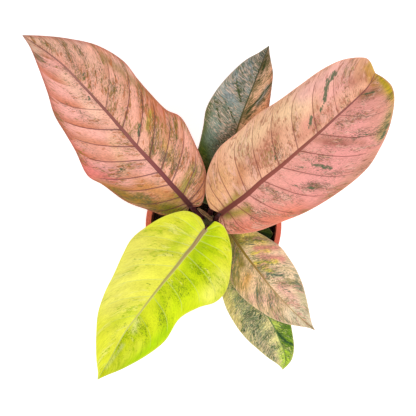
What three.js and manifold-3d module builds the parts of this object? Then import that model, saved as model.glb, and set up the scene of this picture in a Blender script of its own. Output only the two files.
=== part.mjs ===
// Potted variegated anthurium hookeri: a nursery pot, its potting mix and a rosette of seven leaves.
// Millimetres, +Z up. The origin is the middle of the pot's flat base, on the surface it stands on.
// Seen from above, +X is right and +Y is up.
import * as THREE from 'three';
import { mergeVertices } from 'three/addons/utils/BufferGeometryUtils.js';
import Module from 'manifold-3d';

const wasm = await Module();
wasm.setup();

// Driving dimensions of the pot
const potHeight = 110;
const rimRadius = 65;
const rimWidth = 5;
const rimSkirtDepth = 12;
const baseRadius = 46;
const potWall = 1.6;
const floorThickness = 2.4;
const drainHoleRadius = 5;
const drainHoleCount = 6;
const drainRingRadius = 30;
const footRound = 1.5;
const rimRound = 0.8;
const skirtTaper = 0.6;

// Driving dimensions of the potting mix
const mixTop = 95;
const mixRelief = 0.8;
const mixRings = 8;
const mixSectors = 32;
const chunkCount = 56;
const chunkSmallest = 1.8;
const chunkLargest = 4.2;

// Driving dimensions of the plant
const stemFoot = new THREE.Vector3(-4, 3, 66);
const stemTop = 127;
const stemRadius = 7;
const stemFootLength = 12;
const scarHeights = [99, 105, 110.5, 115.5, 120];
const scarRise = 0.6;
const petioleBaseRadius = 3;
const petioleTopRadius = 2.5;
const bladeThickness = 1;
const ribRidge = 1.1;
const ribKeel = 2.4;
const quiltHeight = 0.9;
const quiltFullWidth = 20;
const veinSwing = 0.12;
const sheathHalfWidth = 2.2;
const sheathPaper = 0.9;
const sheathRise = 1.5;
const strawRadius = 0.65;
const strawLift = 3;

// Clearances and facets
const gap = 0.35;
const stalkGap = 0.5;
const potSegments = 56;
const holeSegments = 16;
const stemSegments = 20;
const tubeSides = 8;
const strawSides = 6;
const petioleSteps = 12;
const stepsPerVein = 2;
const bladeColumns = [0, 0.06, 0.3, 0.55, 0.8, 1];

// Each leaf has its own frame: it starts where the stalk meets the blade, +X runs to the tip and
// +Y to the left. heights are the midrib's heights above the junction at equal steps to the tip.
// A row of veins holds the foot of a pair of side veins on the midrib (along, sideways), then
// where the left one meets the margin (along, out) and where the right one does (along, out).
// fold lifts a half away from the midrib, curl lets its margin down again.
const leaves = [
  {
    number: 1, colour: 0xe8a07a, junction: [-22, 19, 150], heading: 134.6,
    heights: [0, 22, 37, 43, 34],
    left: { fold: 0.24, curl: 0.2, wave: 0.07, waves: 3, phase: 0.6 },
    right: { fold: 0.16, curl: 0.12, wave: 0.06, waves: 3.5, phase: 2.4 },
    veins: [
      [0, 0, -3, 8, -4, 2], [0, 0, 0, 16, -7, 8], [0, 0, 10, 24, 0, 20],
      [3, 0, 24, 31, 13, 33], [11, -0.5, 44, 40, 39, 44], [26, -1, 69, 44, 63, 51],
      [41, -2, 86, 48, 78, 46], [56, -2.5, 109, 40, 99, 46], [72, -3, 126, 35, 115, 47],
      [92, -4.5, 144, 30, 136, 49], [115, -6, 163, 20, 161, 42], [142, -7, 185, 10, 183, 28],
      [176, -7, 202, 3, 201, 14],
    ],
    length: 217,
    stalk: { height: 114, leave: [-5, 2.5, 4], arrive: 0.5, radius: 1 },
  },
  {
    number: 2, colour: 0xe89a7e, junction: [7, 11, 155], heading: 42.5,
    heights: [0, 20, 34, 38, 26],
    left: { fold: 0.2, curl: 0.14, wave: 0.06, waves: 3, phase: 1.2 },
    right: { fold: 0.18, curl: 0.16, wave: 0.07, waves: 3, phase: 4 },
    veins: [
      [0, 0, -2, 5, -6, 3], [0, 0, -4, 12, -10, 11], [0, 0, 3, 25, -5, 21],
      [6, -0.5, 18, 38, 13, 34], [15, -1.5, 39, 46, 35, 43], [30, -3, 63, 45, 60, 52],
      [48, -3, 86, 45, 93, 58], [68, -4.5, 107, 41, 124, 59], [90, -5, 131, 38, 147, 53],
      [113, -5.5, 154, 35, 165, 45], [138, -5.5, 174, 29, 182, 32], [161, -5.5, 189, 19, 191, 20],
      [177, -4.5, 193, 12, 192, 9],
    ],
    length: 190,
    stalk: { height: 116, leave: [6, 2, 4], arrive: 0.5, radius: 1 },
  },
  {
    number: 3, colour: 0xd8e340, junction: [-8, -4, 172], heading: -125.7,
    heights: [0, 14, 19, 10, -14],
    left: { fold: 0.14, curl: 0.14, wave: 0.07, waves: 2.5, phase: 1 },
    right: { fold: 0.12, curl: 0.14, wave: 0.05, waves: 3, phase: 3.6 },
    veins: [
      [0, 0, -7, 1.5, -5, 2.5], [0, 0, -12, 2, -7, 13], [0, 0, -12, 14, -3, 26],
      [5, -0.5, -1, 29, 12, 38], [11, -0.5, 12, 38, 30, 46], [19, -0.5, 31, 47, 46, 50],
      [28, -1.5, 47, 46, 62, 48], [42, -2, 61, 36, 81, 44], [57, -3, 79, 28, 99, 41],
      [76, -4, 102, 29, 118, 35], [97, -4.5, 123, 23, 136, 24], [120, -5, 145, 13, 152, 12.5],
      [148, -1.5, 160, 5, 163, 4],
    ],
    length: 171,
    stalk: { height: 112, leave: [-0.5, -5, 6], arrive: 0.3, radius: 1 },
  },
  {
    number: 4, colour: 0xb58a6a, junction: [-1, 21, 133], heading: 70.3,
    heights: [0, 12, 22, 27, 22],
    left: { fold: 0.32, curl: 0.06, wave: 0.03, waves: 2, phase: 0 },
    right: { fold: 0.3, curl: 0.08, wave: 0.04, waves: 2.5, phase: 2 },
    veins: [
      [0, 0, -3, 5, -1, 6], [0, 0, 0, 15, 8, 12], [5, 0.5, 12, 26, 23, 19],
      [13, 0.5, 25, 31, 43, 22], [27, 1, 42, 30, 63, 24], [47, 1, 62, 32, 83, 22],
      [67, 1.5, 80, 35, 102, 19], [88, 2, 98, 32, 120, 15], [105, 1.5, 117, 25, 131, 12],
      [123, 1, 134, 16, 142, 6], [140, 0.5, 145, 7, 148, 3],
    ],
    length: 155,
    stalk: { height: 113, leave: [0, 4, 4], arrive: 0.7, radius: 0.9 },
  },
  {
    number: 5, colour: 0xd9b296, junction: [12, -3.5, 136], heading: -48.8,
    heights: [0, 10, 12, 4, -14],
    left: { fold: 0.16, curl: 0.14, wave: 0.05, waves: 2, phase: 0.5 },
    right: { fold: 0.14, curl: 0.16, wave: 0.05, waves: 2.5, phase: 3 },
    veins: [
      [0, 0, -3, 5, -3, 5], [0, 0, 2, 14, 2, 14], [4, 0.5, 21, 20, 25, 24],
      [12, -0.5, 33, 24, 40, 29], [24, -2, 46, 27, 52, 31], [36, -3, 59, 26, 64, 30],
      [50, -3.5, 71, 24, 77, 27], [64, -4.5, 84, 20, 90, 23], [79, -4.5, 97, 14, 102, 17],
      [94, -4, 110, 7, 112, 10], [110, -2.5, 120, 2, 120, 4],
    ],
    length: 128,
    stalk: { height: 110, leave: [5, -1, 5], arrive: 0.6, radius: 0.9 },
  },
  {
    number: 6, colour: 0x8c9a62, junction: [12, -17, 124], heading: -66.1,
    heights: [0, 7, 7, -5, -28],
    left: { fold: 0.12, curl: 0.16, wave: 0.05, waves: 2, phase: 2 },
    right: { fold: 0.1, curl: 0.12, wave: 0.04, waves: 2, phase: 0 },
    veins: [
      [0, 0, 0, 7, 1, 6], [6, 0.5, 9, 17, 11, 12], [16, 1, 24, 22, 26, 19],
      [30, 2, 39, 27, 40, 23], [45, 3.5, 57, 28, 57, 25], [62, 5.5, 73, 28, 76, 23],
      [77, 7.5, 89, 26, 91, 19], [90, 9, 103, 23, 105, 13], [105, 9, 117, 19, 116, 8],
      [118, 8.5, 127, 13, 125, 3], [129, 5, 132, 6.5, 131, 0.5],
    ],
    length: 134.5,
    stalk: { height: 106, leave: [3, -5, 3], arrive: 0.8, radius: 0.85 },
  },
  {
    number: 7, colour: 0x2b3f16, junction: [20, -2, 105], heading: -10.8,
    heights: [0, 2, 3, 3, 1],
    left: { fold: 0.2, curl: 0.1, wave: 0.03, waves: 1, phase: 0 },
    right: { fold: 0.2, curl: 0.14, wave: 0.03, waves: 1, phase: 1 },
    veins: [
      [0, 0, -1, 4, -1, 4], [6, 0, 10, 10, 11, 9], [14, 0.5, 19, 12, 20, 11],
      [21, 1, 27, 10, 29, 9], [29, 1, 33, 5, 35, 5],
    ],
    length: 37.5,
    stalk: { height: 101.5, leave: [6, -1, 0], arrive: 1.5, radius: 0.6 },
  },
];

// Catmull-Rom curve through rows of numbers, all columns at once; s runs from 0 to 1
function smoothThrough(rows, s) {
  const last = rows.length - 1;
  const place = Math.min(Math.max(s, 0), 1) * last;
  const index = Math.min(Math.floor(place), last - 1);
  const f = place - index;
  const here = rows[index];
  const next = rows[index + 1];
  return here.map((b, column) => {
    const c = next[column];
    const a = index > 0 ? rows[index - 1][column] : 2 * b - c;
    const d = index + 2 <= last ? rows[index + 2][column] : 2 * c - b;
    const square = (2 * a - 5 * b + 4 * c - d) * f * f;
    const cube = (3 * b - a - 3 * c + d) * f * f * f;
    return 0.5 * (2 * b + (c - a) * f + square + cube);
  });
}

// Seeded random numbers from 0 to 1
function seededRandom(seed) {
  let state = seed;
  return () => {
    state = (state * 1664525 + 1013904223) % 4294967296;
    return state / 4294967296;
  };
}

function toManifold(geometry) {
  const bare = geometry.clone();
  bare.deleteAttribute('normal');
  bare.deleteAttribute('uv');
  const welded = mergeVertices(bare, 1e-4);
  return new wasm.Manifold(new wasm.Mesh({
    numProp: 3,
    vertProperties: new Float32Array(welded.attributes.position.array),
    triVerts: new Uint32Array(welded.index.array),
  }));
}

function toGeometry(manifold) {
  const mesh = manifold.getMesh();
  const geometry = new THREE.BufferGeometry();
  geometry.setAttribute('position', new THREE.BufferAttribute(new Float32Array(mesh.vertProperties), 3));
  geometry.setIndex(new THREE.BufferAttribute(new Uint32Array(mesh.triVerts), 1));
  return geometry;
}

// A closed body from triangles of Vector3: points that coincide become one, flat triangles go
function closedBody(triangles) {
  const positions = [];
  const index = [];
  const known = new Map();
  const vertexOf = (point) => {
    const key = point.toArray().map((value) => Math.round(value * 1000)).join();
    if (!known.has(key)) {
      known.set(key, positions.length / 3);
      positions.push(point.x, point.y, point.z);
    }
    return known.get(key);
  };
  for (const triangle of triangles) {
    const [a, b, c] = triangle.map(vertexOf);
    if (a !== b && b !== c && c !== a) {
      index.push(a, b, c);
    }
  }
  const geometry = new THREE.BufferGeometry();
  geometry.setAttribute('position', new THREE.BufferAttribute(new Float32Array(positions), 3));
  geometry.setIndex(index);
  return geometry;
}

const part = new THREE.Group();

function addPiece(name, geometry, colour, roughness) {
  const material = new THREE.MeshStandardMaterial({ color: colour, roughness, metalness: 0 });
  const mesh = new THREE.Mesh(geometry, material);
  mesh.name = name;
  part.add(mesh);
  return mesh;
}

// The pot: a tapered wall with a flat base, drain holes and a rolled rim with a hanging skirt
const wallTopRadius = rimRadius - rimWidth;
const potInnerBase = baseRadius - potWall;
const underRim = potHeight - potWall;

function potInnerRadius(z) {
  return potInnerBase + (wallTopRadius - potInnerBase) * z / potHeight;
}

function makePot() {
  const skirtInner = rimRadius - potWall;
  const skirtFoot = potHeight - rimSkirtDepth;
  const profile = [
    [0, 0],
    [baseRadius - footRound, 0],
    [baseRadius, footRound],
    [potInnerRadius(underRim) + potWall, underRim],
    [skirtInner, underRim],
    [skirtInner, skirtFoot],
    [rimRadius - skirtTaper, skirtFoot],
    [rimRadius, potHeight - rimRound],
    [rimRadius - rimRound, potHeight],
    [wallTopRadius + rimRound, potHeight],
    [wallTopRadius, potHeight - rimRound],
    [potInnerRadius(floorThickness), floorThickness],
    [0, floorThickness],
  ].map(([radius, z]) => new THREE.Vector2(radius, z));
  const lathe = new THREE.LatheGeometry(profile, potSegments).rotateX(Math.PI / 2);
  let pot = toManifold(lathe);
  for (let hole = 0; hole < drainHoleCount; hole += 1) {
    const angle = (hole + 0.5) * 2 * Math.PI / drainHoleCount;
    const depth = 4 * floorThickness;
    const cutter = new THREE.CylinderGeometry(drainHoleRadius, drainHoleRadius, depth, holeSegments);
    cutter.rotateX(Math.PI / 2);
    cutter.translate(drainRingRadius * Math.cos(angle), drainRingRadius * Math.sin(angle), 0);
    pot = pot.subtract(toManifold(cutter));
  }
  return toGeometry(pot);
}

// The stem: a short trunk with a ring at each old leaf scar, round at the top
// extra makes it fatter all round, to cut its neighbours clear of it
function stemProfile(extra) {
  const foot = stemFoot.z - extra;
  const radius = stemRadius + extra;
  const points = [[0, foot], [0.7 * radius, foot], [radius - scarRise, foot + stemFootLength]];
  for (const height of scarHeights) {
    points.push([radius - scarRise, height - 3 * scarRise]);
    points.push([radius, height]);
  }
  points.push([0.8 * radius, stemTop - 0.3 * stemRadius + extra]);
  points.push([0.45 * radius, stemTop + extra]);
  points.push([0, stemTop + extra]);
  return points.map(([across, z]) => new THREE.Vector2(across, z));
}

function makeStem(extra) {
  const lathe = new THREE.LatheGeometry(stemProfile(extra), stemSegments).rotateX(Math.PI / 2);
  return lathe.translate(stemFoot.x, stemFoot.y, 0);
}

const fatStem = toManifold(makeStem(gap));

// The potting mix: a tapered plug with a lumpy top, a plain hole for the stem and sunken bark chunks
// Its top swells by mixRelief over some 30 mm, and by half of that over some 10 mm
function mixSurface(x, y) {
  const long = Math.sin(x * 0.21 + 1.3) * Math.cos(y * 0.17 - 0.4);
  const short = Math.sin(x * 0.55 - y * 0.31 + 2) * Math.cos(y * 0.6 + 0.7);
  return mixTop + mixRelief * (long + 0.5 * short);
}

function makeMixPlug() {
  const foot = floorThickness + gap;
  const topRadius = potInnerRadius(mixTop) - 2 * gap;
  const footRadius = potInnerRadius(foot) - 2 * gap;
  const at = (ring, sector) => {
    const radius = topRadius * ring / mixRings;
    const angle = 2 * Math.PI * sector / mixSectors;
    const x = radius * Math.cos(angle);
    const y = radius * Math.sin(angle);
    return new THREE.Vector3(x, y, mixSurface(x, y));
  };
  const footAt = (sector) => {
    const angle = 2 * Math.PI * sector / mixSectors;
    return new THREE.Vector3(footRadius * Math.cos(angle), footRadius * Math.sin(angle), foot);
  };
  const footMiddle = new THREE.Vector3(0, 0, foot);
  const triangles = [];
  for (let sector = 0; sector < mixSectors; sector += 1) {
    const next = (sector + 1) % mixSectors;
    for (let ring = 0; ring < mixRings; ring += 1) {
      triangles.push([at(ring, sector), at(ring + 1, sector), at(ring + 1, next)]);
      triangles.push([at(ring, sector), at(ring + 1, next), at(ring, next)]);
    }
    triangles.push([at(mixRings, sector), footAt(sector), footAt(next)]);
    triangles.push([at(mixRings, sector), footAt(next), at(mixRings, next)]);
    triangles.push([footMiddle, footAt(next), footAt(sector)]);
  }
  return closedBody(triangles);
}

// Each chunk is a flattened lump, turned at random, with its lower half in the mix
function makeMix() {
  const random = seededRandom(7);
  let mix = toManifold(makeMixPlug()).subtract(fatStem);
  const clearOfStem = stemRadius + chunkLargest + 2;
  const clearOfWall = potInnerRadius(mixTop) - chunkLargest - 1.5;
  let placed = 0;
  while (placed < chunkCount) {
    const radius = clearOfWall * Math.sqrt(random());
    const angle = 2 * Math.PI * random();
    const x = radius * Math.cos(angle);
    const y = radius * Math.sin(angle);
    const size = chunkSmallest + (chunkLargest - chunkSmallest) * random() ** 2;
    const chunk = new THREE.IcosahedronGeometry(size, 0);
    chunk.scale(1, 0.5 + 0.5 * random(), 0.45 + 0.25 * random());
    chunk.rotateX(0.5 * (random() - 0.5));
    chunk.rotateZ(2 * Math.PI * random());
    chunk.translate(x, y, mixSurface(x, y) - 0.1 * size);
    if (Math.hypot(x - stemFoot.x, y - stemFoot.y) > clearOfStem) {
      mix = mix.add(toManifold(chunk));
      placed += 1;
    }
  }
  return toGeometry(mix);
}

// The rows of a leaf from its junction to its tip
function leafRows(leaf) {
  const tip = [leaf.length, 0, leaf.length, 0, leaf.length, 0];
  return [[0, 0, 0, 0, 0, 0], ...leaf.veins, tip];
}

// Where the blade's middle surface is, in the leaf's frame. s runs from the junction round the lobe
// to the tip, v from the midrib to the margin, and side is 1 on the left and -1 on the right.
// Side veins leave the midrib steeply and swing towards the tip; the blade is quilted between them.
function bladePoint(leaf, rows, side, s, v) {
  const [footAlong, footSide, leftAlong, leftOut, rightAlong, rightOut] = smoothThrough(rows, s);
  const ribX = Math.max(footAlong, 0);
  const ribY = ribX > 0 ? footSide : 0;
  const ribZ = smoothThrough(leaf.heights.map((height) => [height]), ribX / leaf.length)[0];
  const half = side > 0 ? leaf.left : leaf.right;
  const reachX = (side > 0 ? leftAlong : rightAlong) - ribX;
  const reachY = side * (side > 0 ? leftOut : rightOut) - ribY;
  const width = Math.hypot(reachX, reachY);
  const swing = veinSwing * width * v * (1 - v);
  const lift = width * (half.fold * v - half.curl * v * v);
  const wave = width * half.wave * v * v * Math.sin(2 * Math.PI * half.waves * s + half.phase);
  const veinPlace = s * (rows.length - 1);
  const quilt = quiltHeight * Math.sin(Math.PI * v) * Math.min(width / quiltFullWidth, 1)
    * Math.sin(Math.PI * veinPlace) ** 2;
  return {
    point: new THREE.Vector3(ribX + reachX * v - swing, ribY + reachY * v, ribZ + lift + wave + quilt),
    tipward: ribX / leaf.length,
  };
}

// A blade: the same grid of triangles above and below, with the midrib as a ridge and a keel
function makeBlade(leaf) {
  const rows = leafRows(leaf);
  const steps = (rows.length - 1) * stepsPerVein;
  const outer = bladeColumns.length - 1;
  const above = [];
  const below = [];
  for (let step = 0; step <= steps; step += 1) {
    above.push([]);
    below.push([]);
    for (let column = -outer; column <= outer; column += 1) {
      const side = column < 0 ? -1 : 1;
      const v = bladeColumns[Math.abs(column)];
      const { point, tipward } = bladePoint(leaf, rows, side, step / steps, v);
      const ridge = column === 0 ? ribRidge * (1 - tipward) : 0;
      const keel = column === 0 ? ribKeel * (1 - tipward) : 0;
      above[step].push(point.clone().add(new THREE.Vector3(0, 0, ridge)));
      below[step].push(point.clone().sub(new THREE.Vector3(0, 0, bladeThickness + keel)));
    }
  }
  const triangles = [];
  for (let step = 0; step < steps; step += 1) {
    for (let column = 0; column < 2 * outer; column += 1) {
      const corners = (face) => [
        face[step][column], face[step + 1][column], face[step + 1][column + 1], face[step][column + 1],
      ];
      const [a, b, c, d] = corners(above);
      const [e, f, g, h] = corners(below);
      triangles.push([a, b, c], [a, c, d], [e, g, f], [e, h, g]);
    }
    const right = 0;
    const left = 2 * outer;
    triangles.push([above[step][left], above[step + 1][left], below[step + 1][left]]);
    triangles.push([above[step][left], below[step + 1][left], below[step][left]]);
    triangles.push([above[step + 1][right], above[step][right], below[step][right]]);
    triangles.push([above[step + 1][right], below[step][right], below[step + 1][right]]);
  }
  const geometry = closedBody(triangles);
  geometry.rotateZ(THREE.MathUtils.degToRad(leaf.heading));
  return geometry.translate(...leaf.junction);
}

// A tapered round tube along a curve, closed at both ends
function taperedTube(curve, startRadius, endRadius, sides, steps) {
  const frames = curve.computeFrenetFrames(steps, false);
  const ring = (step, radius) => {
    const centre = curve.getPointAt(step / steps);
    return Array.from({ length: sides }, (_, side) => {
      const angle = 2 * Math.PI * side / sides;
      return centre.clone()
        .addScaledVector(frames.normals[step], radius * Math.cos(angle))
        .addScaledVector(frames.binormals[step], radius * Math.sin(angle));
    });
  };
  const triangles = [];
  let lower = ring(0, startRadius);
  const startCentre = curve.getPointAt(0);
  const endCentre = curve.getPointAt(1);
  for (let side = 0; side < sides; side += 1) {
    triangles.push([startCentre, lower[(side + 1) % sides], lower[side]]);
  }
  for (let step = 1; step <= steps; step += 1) {
    const upper = ring(step, startRadius + (endRadius - startRadius) * step / steps);
    for (let side = 0; side < sides; side += 1) {
      const next = (side + 1) % sides;
      triangles.push([lower[side], lower[next], upper[next]], [lower[side], upper[next], upper[side]]);
    }
    lower = upper;
  }
  for (let side = 0; side < sides; side += 1) {
    triangles.push([endCentre, lower[side], lower[(side + 1) % sides]]);
  }
  return closedBody(triangles);
}

// A stalk: from the stem up to just under the blade's junction, cut clear of the stem
function makePetiole(leaf) {
  const heading = THREE.MathUtils.degToRad(leaf.heading);
  const { height, leave, arrive, radius } = leaf.stalk;
  const start = new THREE.Vector3(stemFoot.x, stemFoot.y, height);
  const hubDepth = bladeThickness + ribKeel + stalkGap;
  const end = new THREE.Vector3(...leaf.junction).sub(new THREE.Vector3(0, 0, hubDepth));
  const endWay = new THREE.Vector3(arrive * Math.cos(heading), arrive * Math.sin(heading), 1).normalize();
  const reach = end.distanceTo(start) / 3;
  const curve = new THREE.CubicBezierCurve3(
    start,
    start.clone().add(new THREE.Vector3(...leave).setLength(reach)),
    end.clone().addScaledVector(endWay, -reach),
    end,
  );
  const tube = taperedTube(
    curve, petioleBaseRadius * radius, petioleTopRadius * radius, tubeSides, petioleSteps,
  );
  return toGeometry(toManifold(tube).subtract(fatStem));
}

// The dry sheath: a papery channel left by an old leaf, curved in section, beside stalk 1
function makeSheath() {
  const path = new THREE.CatmullRomCurve3([
    new THREE.Vector3(-2, 5, 128), new THREE.Vector3(-5, 8, 131.5),
    new THREE.Vector3(-9.5, 11.5, 137), new THREE.Vector3(-15, 16, 143.5),
  ]);
  const section = new THREE.Shape();
  section.moveTo(-sheathHalfWidth, 0);
  section.quadraticCurveTo(0, 2 * sheathRise, sheathHalfWidth, 0);
  section.lineTo(sheathHalfWidth, -sheathPaper);
  section.quadraticCurveTo(0, 2 * sheathRise - sheathPaper, -sheathHalfWidth, -sheathPaper);
  section.closePath();
  const sheath = new THREE.ExtrudeGeometry(section, { steps: 12, curveSegments: 5, extrudePath: path });
  return toGeometry(toManifold(sheath).subtract(fatStem));
}

// A bit of straw that lies on the mix by the wall
function makeStraw() {
  const path = new THREE.LineCurve3(
    new THREE.Vector3(52.5, -4, mixTop + strawLift), new THREE.Vector3(57, -9, mixTop + strawLift + 0.8),
  );
  return taperedTube(path, strawRadius, strawRadius, strawSides, 2);
}

addPiece('pot', makePot(), 0xe8694f, 0.45);
addPiece('potting_mix', makeMix(), 0x2a1d14, 0.95);
addPiece('stem', makeStem(0), 0x4f4025, 0.8);
addPiece('dry_sheath', makeSheath(), 0xa08060, 0.85);
addPiece('straw', makeStraw(), 0xc8b878, 0.8);
for (const leaf of leaves) {
  addPiece(`petiole_${leaf.number}`, makePetiole(leaf), 0x4a1f26, 0.5);
  addPiece(`blade_${leaf.number}`, makeBlade(leaf), leaf.colour, 0.5);
}

export default part;
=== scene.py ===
# Potted variegated anthurium hookeri: a nursery pot, its potting mix and a rosette of seven leaves.
# Shapes are worked out in millimetres, +Z up, and made in metres. The pot stands on z = 0 round the
# origin. Seen from above, +X is right and +Y is up.
import math

import bpy
import numpy as np
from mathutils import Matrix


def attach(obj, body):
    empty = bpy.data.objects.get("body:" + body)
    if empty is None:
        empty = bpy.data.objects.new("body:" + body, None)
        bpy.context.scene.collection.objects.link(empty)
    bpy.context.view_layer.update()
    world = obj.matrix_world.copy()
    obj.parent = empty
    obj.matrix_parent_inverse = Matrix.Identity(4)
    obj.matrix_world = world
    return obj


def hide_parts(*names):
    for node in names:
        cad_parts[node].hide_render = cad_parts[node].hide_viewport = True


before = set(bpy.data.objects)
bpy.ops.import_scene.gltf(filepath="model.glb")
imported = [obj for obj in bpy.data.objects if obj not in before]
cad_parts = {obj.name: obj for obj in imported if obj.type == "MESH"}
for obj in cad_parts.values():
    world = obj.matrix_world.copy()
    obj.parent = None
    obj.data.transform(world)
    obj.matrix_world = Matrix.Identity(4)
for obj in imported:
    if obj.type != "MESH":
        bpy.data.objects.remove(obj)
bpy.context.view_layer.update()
scene = bpy.context.scene
MM = 0.001

# Pot
POT_HEIGHT = 110
RIM_RADIUS = 65
RIM_WIDTH = 5
SKIRT_DEPTH = 12
SKIRT_DRAFT = 0.6
BASE_RADIUS = 46
POT_WALL = 1.6
FLOOR_THICKNESS = 2.4
HOLE_RADIUS = 5
HOLE_COUNT = 6
HOLE_RING = 30
FOOT_ROUND = 1.5
RIM_ROUND = 0.8
RIM_GROOVES = 3
GROOVE_DEPTH = 0.35
WALL_TOP_RADIUS = RIM_RADIUS - RIM_WIDTH
POT_INNER_BASE = BASE_RADIUS - POT_WALL

# The camera looks straight down, a little off the pot's axis. Its picture is this wide at the rim.
CAMERA_ABOVE_RIM = 1500
CAMERA_PLACE = (-5.354, 16.252, POT_HEIGHT + CAMERA_ABOVE_RIM)
SENSOR_WIDTH = 36
PICTURE_WIDTH_AT_RIM = 397.7

# Potting mix: its clearances from the pot's wall at the top and foot and from the floor, then chips
MIX_TOP = 95
MIX_RELIEF = 0.8
MIX_CRUMB = 0.35
MIX_TOP_GAP = 0.5
MIX_FOOT_GAP = 0.7
MIX_OVER_FLOOR = 0.35
CHIP_COUNT = 900
CHIP_SMALLEST = 0.7
CHIP_LARGEST = 4.2

# Stem and stalks. The stem's place is its axis, and it starts out of sight in the mix.
STEM_PLACE = (-4.0, 3.0)
STEM_START = 80
STEM_TOP = 127
STEM_TIP = 5
STEM_RADIUS = 7
SCAR_HEIGHTS = (99, 105, 110.5, 115.5, 120)
SCAR_STEP = 0.6
SCAR_FADE = 1.4
PETIOLE_FOOT_RADIUS = 3
PETIOLE_TOP_RADIUS = 2.5
HUB_DEPTH = 3.9

# Blades. The thin margin is a share of a half's width, as are the swing of the veins and the distance
# from the margin of the vein that joins their ends. The grain of the two halves lies far apart.
BLADE_THICKNESS = 0.8
MARGIN_THICKNESS = 0.35
MARGIN_SHARE = 0.15
RIB_RIDGE = 1.1
RIB_KEEL = 2.4
RIB_TIP_HALF = 0.25
RIB_ROUNDNESS = 0.7
KEEL_SPREAD = 1.3
QUILT_HEIGHT = 0.9
QUILT_FULL_WIDTH = 20
CREASE_POWER = 0.9
VEIN_SWING = 0.12
JOINING_VEIN_INSET = 0.12
HALVES_APART = 300
ROWS_PER_VEIN = 16
HALF_COLUMNS = 34
COLUMN_CROWDING = 1.6
UNDERSIDE_SHARE = 0.55

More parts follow.
